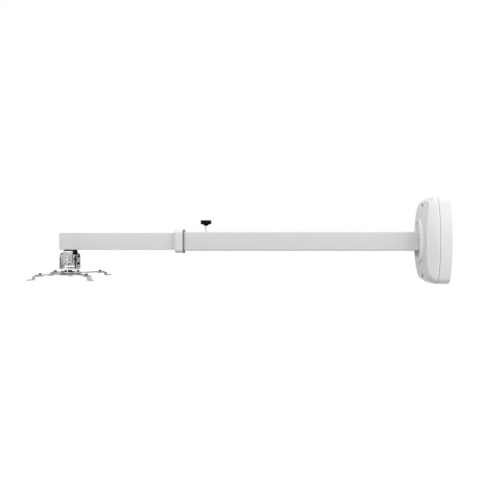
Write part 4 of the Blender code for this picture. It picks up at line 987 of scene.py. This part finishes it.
def fasteners():
    """Every screw that shows, at its CAD place, with true heads and sockets."""
    for end in ("upper", "lower"):
        socket_screw("cover_screw_" + end, COVER_SCREW, OFF_WALL, BLACK_SCREW, "wall_end")
    for number in range(1, 5):
        hex_bolt(f"flange_bolt_{number}", SMALL_HEX, FLANGE_BOLT_LENGTH, OFF_WALL, "wall_end")
    for end, side in (("front", -1), ("back", 1)):
        socket_screw("pitch_pivot_" + end, PITCH_PIVOT, (0, side, 0), ZINC_SCREW, "swivel")
        socket_screw("pitch_lock_" + end, PITCH_LOCK_SCREW, (0, side, 0), ZINC_SCREW, "tilt")
    for end, side in (("left", -1), ("right", 1)):
        socket_screw("roll_pivot_" + end, ROLL_PIVOT, (side, 0, 0), BLACK_SCREW, "tilt")
        socket_screw("roll_lock_" + end, ROLL_LOCK_SCREW, (side, 0, 0), BLACK_SCREW, "tilt")
    for name in ARM_NAMES:
        node = "arm_screw_" + name
        sizes = (ARM_SCREW_SHANK, tall(node) - ARM_SCREW_HEAD[1], *ARM_SCREW_HEAD)
        socket_screw(node, sizes, UP, BLACK_SCREW, "cradle")
        socket_screw("foot_screw_" + name, FOOT_SCREW, UP, BLACK_SCREW, "foot_" + name)
    hex_bolt("hub_bolt", SMALL_HEX, tall("hub_bolt") - SMALL_HEX[1], UP, "cradle")
    height = tall("hub_nut")
    nut = hex_grid(SMALL_HEX[0], height, hole=HUB_HOLE_R)
    screw_piece("hub_nut", nut, DOWN, height, ZINC_SCREW, "cradle", loop=True)
    hex_bolt("swivel_bolt", LARGE_HEX, tall("swivel_bolt") - LARGE_HEX[1], DOWN, "slider")


# Wing knob of the clamp, whose lobes are narrower by these shares at the lower and the upper edge
WING_LOWER, WING_UPPER = 0.65, 0.2
WING_SLOPE = 0.9
WING_HUB_R = 10 * MM
WING_NECK_R = 4.5 * MM
WING_FOOT = 1.5 * MM
WING_RISE = 4.8 * MM
WING_CONE = 3.6 * MM
WING_EDGE = 2.2 * MM
WING_HOLE_R = 3.3 * MM
WING_DISH = 0.8 * MM
WING_FACETS = 96

# Ribbed knob of the fine adjuster
GRIP_EDGE = 1.3 * MM
GRIP_DISH = 0.3 * MM
GRIP_RIBS = 20
GRIP_RIB_DEPTH = 0.45 * MM
GRIP_FACETS = 120


def clamp_knob():
    """Winged thumb knob: a hub with two lobes, a dished crown and a cone below, on a threaded stud.

    Each row is a radius, a height and the share of the lobes, which follow the cosine's fifth power.
    """
    low, high = span("clamp_knob")
    axle = ((low[0] + high[0]) / 2, 0, 0)
    base, top = low[2], high[2]
    rows = [(WING_HOLE_R, span("clamp_stud")[1][2] + GAP, 0), (WING_HOLE_R, base + BREAK, 0),
            (WING_HOLE_R + BREAK, base, 0), (WING_NECK_R - BREAK, base, 0),
            (WING_NECK_R, base + BREAK, 0)]
    cone_r = WING_HUB_R - WING_FOOT - WING_NECK_R
    for share in np.linspace(0, 1, 8)[1:]:
        rows.append((WING_NECK_R + cone_r * share ** 1.3, base + WING_CONE * share, 0))
    for inset, run in rounding(WING_EDGE, WING_EDGE, 8):
        rows.append((WING_HUB_R - inset, base + WING_RISE + run, 1 - WING_LOWER * inset / WING_EDGE))
    for inset, _ in rounding(WING_EDGE, WING_EDGE, 10)[::-1]:
        rows.append((WING_HUB_R - inset, top - WING_SLOPE * inset, 1 - WING_UPPER * inset / WING_EDGE))
    crown_r, crown = WING_HUB_R - WING_EDGE, top - WING_SLOPE * WING_EDGE
    for share in (0.7, 0.45, 0.2, 0.02):
        rows.append((crown_r * share, crown - WING_DISH * (1 - share), (1 - WING_UPPER) * share))
    values = np.array(rows)

    def lobed(radius, angle, height):
        lobe = ((high[0] - low[0]) / 2 - WING_HUB_R) * np.abs(np.cos(angle)) ** 5
        return radius + lobe * values[:, 2:3]

    grid = turned_grid(values[:, :2], WING_FACETS, lobed)
    mesh = mesh_from_grid("wing_knob", placed(grid, axle))
    smooth_by_angle(mesh, 45)
    new_piece("wing_knob", mesh, BLACK, "clamp", "clamp_knob")
    threaded_stud("clamp_thread", "clamp_stud", CLAMP_THREAD, axle, BRIGHT_ZINC, "clamp")


def fine_adjuster():
    """Ribbed knob with a dished crown on a long threaded screw.

    Each row is a radius, a height and the share of the ribs, squared waves cut into the radius.
    """
    low, high = span("adjuster_knob")
    axle = (*((low + high) / 2)[:2], 0)
    radius = (high[0] - low[0]) / 2
    base, top = low[2], high[2]
    crown_r, dish = radius - GRIP_EDGE, top - GRIP_EDGE - GRIP_DISH
    rows = [(ADJUSTER_HOLE_R, min(span("adjuster_screw")[1][2] + GAP, top), 0),
            (ADJUSTER_HOLE_R, base, 0), (crown_r, base, 0)]
    for inset, run in rounding(GRIP_EDGE, GRIP_EDGE, 6)[1:]:
        rows.append((radius - inset, base + run, 1 - inset / GRIP_EDGE))
    for inset, _ in rounding(GRIP_EDGE, GRIP_EDGE, 8)[::-1]:
        rows.append((radius - inset, top - inset, 1 - inset / GRIP_EDGE))
    rows += [(crown_r * 0.6, top - GRIP_EDGE, 0), (crown_r * 0.55, dish, 0), (0.2 * MM, dish, 0)]
    values = np.array(rows)

    def ribbed(reach, angle, height):
        rib = -GRIP_RIB_DEPTH * (0.5 - 0.5 * np.cos(GRIP_RIBS * angle)) ** 2
        return reach + rib * values[:, 2:3]

    mesh = mesh_from_grid("adjuster_grip", placed(turned_grid(values[:, :2], GRIP_FACETS, ribbed), axle))
    smooth_by_angle(mesh, 50)
    new_piece("adjuster_grip", mesh, BLACK, "adjuster", "adjuster_knob")
    threaded_stud("adjuster_thread", "adjuster_screw", ADJUSTER_THREAD, axle, DARK, "adjuster")


# Folded sheet parts of the head

SHEET_T = 2.5 * MM
CRADLE_T = 2.7 * MM
SHEET_BEND = 4 * MM
RUN = 0.3 * MM
PIVOT_R = 3 * MM
LOCK_R = 2.4 * MM
PITCH_LOCK = 17.5 * MM
PITCH_SLOT_ANGLE = 24 * DEG
ROLL_LOCK = 24.5 * MM
ROLL_SLOT_ANGLE = 14 * DEG
SHEET_EDGE = 0.3 * MM
RING_EDGE = 0.25 * MM
RING_CORNER = 3.5 * MM
FINGER_BACK = 6 * MM
LIP_THICK = 2 * MM
LIP_HALF = 3 * MM
EAR_T = 2.3 * MM
EAR_HALF = 6 * MM
EAR_OVER_SCREW_END = 3 * MM


def dome_outline(half, apex, foot):
    """A half circle whose apex points away from foot, closed by straight sides that end at foot."""
    way = 1 if apex > foot else -1
    arc = polar(way * half, np.linspace(0, math.pi, DOME_STEPS + 1)) + (0, apex - way * half)
    return np.concatenate([arc, [(-way * half, foot), (way * half, foot)]])


def upper_yoke():
    """U of folded sheet: straight top, cheeks with round ends, pivot holes and arc slots."""
    low, high = span("upper_yoke")
    half_l = (high[0] - low[0]) / 2
    half_w = high[1]
    middle = half_w - SHEET_T / 2
    top = high[2] - SHEET_T / 2
    corners = [(-middle, low[2]), (-middle, top), (middle, top), (middle, low[2])]
    mesh = plate_mesh("yoke", sheet_outline(corners, SHEET_T, SHEET_BEND), "YZ", low[0], high[0])
    cheek = dome_outline(half_l, low[2], high[2] + MM)
    reach = half_w + BEYOND
    slot = arc_slot_outline(PITCH_LOCK, LOCK_R + RUN, PITCH_SLOT_ANGLE)
    steps = [
        (KEEP, plate_mesh("cheek", cheek, "XZ", -reach, reach, (HEAD_X, 0))),
        (CUT, bore_mesh(SWIVEL_HOLE_R, (HEAD_X, 0, high[2]), UP, -6 * MM, 2 * MM)),
        (CUT, bore_mesh(PIVOT_R + RUN, (HEAD_X, 0, PITCH_Z), ACROSS, -reach, reach)),
        (CUT, plate_mesh("slot", slot, "XZ", -reach, reach, (HEAD_X, PITCH_Z))),
    ]
    mesh = carved(mesh, steps, bevel=SHEET_EDGE)
    new_piece("upper_yoke_sheet", mesh, ZINC, "swivel", "upper_yoke")


def tilt_frame():
    """Ring of folded sheet with the finger that the travelling nut lifts."""
    low, high = span("tilt_frame")
    half_l = high[0] - HEAD_X
    half_w = high[1]
    outer = box_outline(half_l, half_w, RING_CORNER)
    inner = box_outline(half_l - SHEET_T, half_w - SHEET_T, RING_CORNER - SHEET_T)
    grid = np.concatenate([raised(outer, "XY", (low[2], high[2]), (HEAD_X, 0)),
                           raised(inner, "XY", (high[2], low[2]), (HEAD_X, 0))])
    nut_low, nut_high = span("adjuster_traveller")
    level = (nut_low[2] + nut_high[2]) / 2
    back = -half_w + FINGER_BACK
    finger = box_outline(SHEET_T / 2, (back - low[1]) / 2, 0.6 * MM)
    centre = (HEAD_X + half_l - SHEET_T / 2, (back + low[1]) / 2)
    steps = [(JOIN, plate_mesh("finger", finger, "XY", level - MM, level + MM, centre))]
    hinges = ((ACROSS, half_w, PITCH_Z, PITCH_LOCK), (ALONG, half_l, ROLL_Z, ROLL_LOCK))
    for axis, half, pivot_z, lock in hinges:
        reach = half + BEYOND
        steps.append((CUT, bore_mesh(PIVOT_R + RUN, (HEAD_X, 0, pivot_z), axis, -reach, reach)))
        steps.append((CUT, bore_mesh(LOCK_R + RUN, (HEAD_X, 0, pivot_z - lock), axis, -reach, reach)))
    mesh = carved(mesh_from_grid("ring", grid, loop_rows=True), steps, bevel=RING_EDGE)
    new_piece("tilt_frame_sheet", mesh, DULL_ZINC, "tilt", "tilt_frame")


def ear_steps(low_y, half_l, half_w):
    """Two ears for the fine adjuster's screw, joined to the cradle and kept out of its inside."""
    knob_low, knob_high = span("adjuster_knob")
    screw_x, screw_y = ((knob_low + knob_high) / 2)[:2]
    upper = knob_low[2] - GAP
    lower = span("adjuster_screw")[0][2] + EAR_OVER_SCREW_END + EAR_T
    back = -half_w + 2 * CRADLE_T
    ear = box_outline(EAR_HALF, (back - low_y) / 2, 2 * MM)
    clear = half_l - CRADLE_T
    root = half_w + 2 * MM
    inside = box_outline(clear / 2, root / 2, 1 * MM)
    levels = (upper, lower)
    steps = [(JOIN, plate_mesh("ear", ear, "XY", level - EAR_T, level, (screw_x, (back + low_y) / 2)))
             for level in levels]
    steps += [(CUT, plate_mesh("inside", inside, "XY", level - EAR_T - GAP, level + GAP,
                               (HEAD_X + clear / 2, -root / 2))) for level in levels]
    hole = bore_mesh(ADJUSTER_HOLE_R, (screw_x, screw_y, lower), UP, -6 * MM, upper - lower + MM)
    return steps, (CUT, hole)


def lower_yoke():
    """U of folded sheet with round wall tops, stiffening lips and two ears for the fine adjuster."""
    low, high = span("lower_yoke")
    half_l = HEAD_X - low[0]
    half_w = high[1]
    middle = half_l - CRADLE_T / 2
    base = low[2] + CRADLE_T / 2
    corners = [(-middle, high[2]), (-middle, base), (middle, base), (middle, high[2])]
    outline = sheet_outline(corners, CRADLE_T, SHEET_BEND)
    mesh = plate_mesh("cradle", outline, "XZ", -half_w, half_w, (HEAD_X, 0))
    reach = half_l + BEYOND
    wall = dome_outline(half_w, high[2], low[2] - MM)
    lip = box_outline(half_l - CRADLE_T - SHEET_BEND, LIP_HALF, 1 * MM)
    slot = arc_slot_outline(ROLL_LOCK, LOCK_R + RUN, ROLL_SLOT_ANGLE)
    ears, ear_hole = ear_steps(low[1], half_l, half_w)
    steps = [(KEEP, plate_mesh("wall", wall, "YZ", HEAD_X - reach, HEAD_X + reach))]
    for near, far in ((-half_w, -half_w + LIP_THICK), (half_w - LIP_THICK, half_w)):
        steps.append((JOIN, plate_mesh("lip", lip, "XZ", near, far, (HEAD_X, low[2] + LIP_HALF))))
    steps += ears + [
        (CUT, bore_mesh(PIVOT_R + RUN, (HEAD_X, 0, ROLL_Z), ALONG, -reach, reach)),
        (CUT, plate_mesh("slot", slot, "YZ", HEAD_X - reach, HEAD_X + reach, (0, ROLL_Z))),
        (CUT, bore_mesh(HUB_HOLE_R, (HEAD_X, 0, low[2]), UP, -MM, CRADLE_T + MM)),
        ear_hole,
    ]
    mesh = carved(mesh, steps, bevel=SHEET_EDGE)
    new_piece("lower_yoke_sheet", mesh, CRADLE_ZINC, "cradle", "lower_yoke")


# Spider arms, feet and the discs of the hub

ARM_HALF_W = 7.5 * MM
ARM_SLOT_R = 2.7 * MM
ARM_SLOT_IN = 22 * MM
ARM_SLOT_OUT = 8 * MM
ARM_TIP = 5 * MM
ARM_EDGE = 0.35 * MM
FOOT_T = 2.2 * MM
FOOT_HALF_W = 7 * MM
FOOT_BEND = 3.2 * MM
FOOT_EDGE = 0.3 * MM
FOOT_HEEL = 9 * MM
FOOT_HOLE_R = 2.7 * MM
FOOT_MOUNT_RUN = 9.5 * MM
FOOT_SCREW_BACK = 20 * MM
FOOT_SLANT = 2 * MM
FOOT_TOE = 21 * MM
TOE_HOLE_R = 2.3 * MM
TOE_HOLE_BACK = 6.5 * MM
DISC_EDGE = 0.4 * MM


def in_arm_frame(mesh, name):
    """Moves a mesh from an arm's own frame, pivot at the origin and foot towards +x, to its place."""
    pivot = JOINTS["swing_" + name]["pos_m"]
    along = JOINTS["slide_" + name]["axis"]
    azimuth = math.atan2(along[1], along[0])
    mesh.transform(Matrix.Translation((pivot[0], pivot[1], 0)) @ Matrix.Rotation(azimuth, 4, "Z"))
    return mesh


def spider_arm(name, screw_x):
    """A flat bar with round ends, a pivot hole and the slot in which the foot slides."""
    node = "arm_" + name
    low, high = span(node)
    slot_end = screw_x + ARM_SLOT_OUT
    slot = slot_outline(screw_x - ARM_SLOT_IN, slot_end, ARM_SLOT_R)
    bar = slot_outline(0, slot_end + ARM_SLOT_R + ARM_TIP - ARM_HALF_W, ARM_HALF_W)
    steps = [
        (CUT, plate_mesh("slot", slot, "XY", low[2] - MM, high[2] + MM)),
        (CUT, bore_mesh(ARM_HOLE_R, (0, 0, low[2]), UP, -MM, high[2] - low[2] + MM)),
    ]
    mesh = carved(plate_mesh("bar", bar, "XY", low[2], high[2]), steps, bevel=ARM_EDGE)
    new_piece(node + "_bar", in_arm_frame(mesh, name), DULL_ZINC, node, node)


def spider_foot(name, screw_x, bend_x):
    """A strip bent twice, from under the arm down to the toe, with round ends and a hole in each."""
    node = "foot_" + name
    low, high = span(node)
    level = high[2] - FOOT_T / 2
    toe_level = low[2] + FOOT_T / 2
    heel = screw_x - FOOT_HEEL
    toe = bend_x + FOOT_SLANT + FOOT_TOE
    corners = [(heel, level), (bend_x, level), (bend_x + FOOT_SLANT, toe_level), (toe, toe_level)]
    strip = sheet_outline(corners, FOOT_T, FOOT_BEND)
    plan = slot_outline(heel + FOOT_HALF_W, toe - FOOT_HALF_W, FOOT_HALF_W)
    steps = [
        (KEEP, plate_mesh("plan", plan, "XY", low[2] - MM, high[2] + MM)),
        (CUT, bore_mesh(FOOT_HOLE_R, (screw_x, 0, level), UP, -3 * MM, 3 * MM)),
        (CUT, bore_mesh(TOE_HOLE_R, (toe - TOE_HOLE_BACK, 0, toe_level), UP, -3 * MM, 3 * MM)),
    ]
    mesh = carved(plate_mesh("strip", strip, "XZ", -FOOT_HALF_W, FOOT_HALF_W), steps, bevel=FOOT_EDGE)
    new_piece(node + "_strip", in_arm_frame(mesh, name), FOOT_PAINT, node, node)


def spider():
    """Slotted arms and Z-bent feet with broken edges."""
    for name in ARM_NAMES:
        pivot = np.array(JOINTS["swing_" + name]["pos_m"])
        mount = np.array(MOUNTS["projector_foot_" + name]["pos_m"])
        bend_x = np.linalg.norm((mount - pivot)[:2]) - FOOT_MOUNT_RUN
        screw_x = bend_x - FOOT_SCREW_BACK
        spider_arm(name, screw_x)
        spider_foot(name, screw_x, bend_x)


def disc(node, hole, material, body, steps=()):
    """A flat ring about the head's axis, with its outer edges broken by a small radius."""
    low, high = span(node)
    radius = (high[0] - low[0]) / 2
    edge = rounding(DISC_EDGE, DISC_EDGE, 5)
    profile = [(radius - inset, low[2] + run) for inset, run in edge]
    profile += [(radius - inset, high[2] - run) for inset, run in edge[::-1]]
    profile += [(hole, high[2]), (hole, low[2])]
    grid = placed(turned_grid(profile, FINE_ROUND), (HEAD_X, 0, 0))
    mesh = mesh_from_grid(node + "_fine", grid, loop_rows=True)
    if steps:
        mesh = carved(mesh, steps)
    smooth_by_angle(mesh)
    new_piece(node + "_fine", mesh, material, body, node)


def discs():
    """Swivel disc, hub spacer and the two hub plates, which have a hole for each arm's pivot."""
    disc("swivel_disc", SWIVEL_HOLE_R, RUBBER, "slider")
    disc("hub_spacer", HUB_HOLE_R, BLACK, "cradle")
    for node in ("hub_top_plate", "hub_low_plate"):
        low, high = span(node)
        steps = []
        for name in ARM_NAMES:
            pivot = JOINTS["swing_" + name]["pos_m"]
            hole = bore_mesh(ARM_HOLE_R, (pivot[0], pivot[1], low[2]), UP, -MM, high[2] - low[2] + MM)
            steps.append((CUT, hole))
        disc(node, HUB_HOLE_R, ZINC, "cradle", steps)


def plain_nodes():
    """CAD nodes that stay as they are, because their form is already right, get their finish."""
    finishes = (
        (PRIMER, ("wall_plate", "arm_flange", "backing_plate")),
        (ZINC, ("cover_standoff_upper", "cover_standoff_lower", "swivel_nut")),
        (DARK, ("adjuster_traveller",)),
    )
    for material, nodes in finishes:
        for node in nodes:
            mesh = frame["nodes"][node].data
            mesh.materials.clear()
            mesh.materials.append(material)


# Studio


def white_for_viewers(tree, plain, white):
    """A shader that is white to camera, mirror and glass rays, and plain to all others."""
    path = tree.nodes.new("ShaderNodeLightPath")
    most = path.outputs["Is Camera Ray"]
    for name in ("Is Glossy Ray", "Is Transmission Ray"):
        step = tree.nodes.new("ShaderNodeMath")
        step.operation = "MAXIMUM"
        tree.links.new(most, step.inputs[0])
        tree.links.new(path.outputs[name], step.inputs[1])
        most = step.outputs[0]
    mix = tree.nodes.new("ShaderNodeMixShader")
    tree.links.new(most, mix.inputs["Fac"])
    tree.links.new(plain, mix.inputs[1])
    tree.links.new(white, mix.inputs[2])
    return mix.outputs["Shader"]


def sky():
    """White surroundings whose light grows with the height, from the horizon's level to the zenith's."""
    world = bpy.data.worlds.new("studio")
    bpy.context.scene.world = world
    world.use_nodes = True
    tree = world.node_tree
    tree.nodes.clear()
    place = tree.nodes.new("ShaderNodeTexCoord")
    height = tree.nodes.new("ShaderNodeSeparateXYZ")
    tree.links.new(place.outputs["Generated"], height.inputs[0])
    level = ranged(tree, height.outputs["Z"], HORIZON_LEVEL, ZENITH_LEVEL, 0.0, 1.0)
    plain, white = (tree.nodes.new("ShaderNodeBackground") for _ in range(2))
    for background in (plain, white):
        background.inputs["Color"].default_value = WHITE
    tree.links.new(level, plain.inputs["Strength"])
    output = tree.nodes.new("ShaderNodeOutputWorld")
    tree.links.new(white_for_viewers(tree, plain.outputs[0], white.outputs[0]), output.inputs["Surface"])


def studio_floor():
    """A floor far below: dim in the light that it throws back, and a glowing matt white to viewers."""
    mesh = bpy.data.meshes.new("studio_floor")
    corners = [(u * FLOOR_HALF, v * FLOOR_HALF, FLOOR_Z) for u, v in ((-1, -1), (1, -1), (1, 1), (-1, 1))]
    mesh.from_pydata(corners, [], [(0, 1, 2, 3)])
    material = bpy.data.materials.new("studio_floor")
    material.use_nodes = True
    tree = material.node_tree
    tree.nodes.clear()
    bounce, matt = (tree.nodes.new("ShaderNodeBsdfDiffuse") for _ in range(2))
    bounce.inputs["Color"].default_value = (FLOOR_BOUNCE, FLOOR_BOUNCE, FLOOR_BOUNCE, 1)
    matt.inputs["Color"].default_value = (FLOOR_TONE, FLOOR_TONE, FLOOR_TONE, 1)
    glow = tree.nodes.new("ShaderNodeEmission")
    glow.inputs["Strength"].default_value = FLOOR_GLOW
    both = tree.nodes.new("ShaderNodeAddShader")
    tree.links.new(matt.outputs[0], both.inputs[0])
    tree.links.new(glow.outputs[0], both.inputs[1])
    output = tree.nodes.new("ShaderNodeOutputMaterial")
    tree.links.new(white_for_viewers(tree, bounce.outputs[0], both.outputs[0]), output.inputs["Surface"])
    mesh.materials.append(material)
    linked("studio_floor", mesh)


def lamps():
    """Two broad lamps: a key from the wall's side, and a fill from the left of the camera."""
    for name, place, aim, width, watts in LAMPS:
        lamp = bpy.data.lights.new(name, "AREA")
        lamp.energy = watts
        lamp.size = width
        holder = linked(name, lamp)
        holder.location = place
        holder.rotation_euler = (Vector(aim) - Vector(place)).to_track_quat("-Z", "Y").to_euler()


def camera():
    """The photograph's camera: level, looking straight along +Y."""
    data = bpy.data.cameras.new("photo_camera")
    data.lens = CAMERA_LENS
    data.sensor_width = CAMERA_SENSOR
    holder = linked("photo_camera", data)
    holder.location = CAMERA_PLACE
    holder.rotation_euler = (math.pi / 2, 0, 0)
    bpy.context.scene.camera = holder


bpy.context.scene.view_settings.view_transform = "Standard"
camera()
sky()
studio_floor()
lamps()
wall_cover()
arm_tubes()
collar_and_gasket()
tube_cap()
fasteners()
clamp_knob()
fine_adjuster()
upper_yoke()
tilt_frame()
lower_yoke()
spider()
discs()
plain_nodes()

bpy.context.view_layer.update()
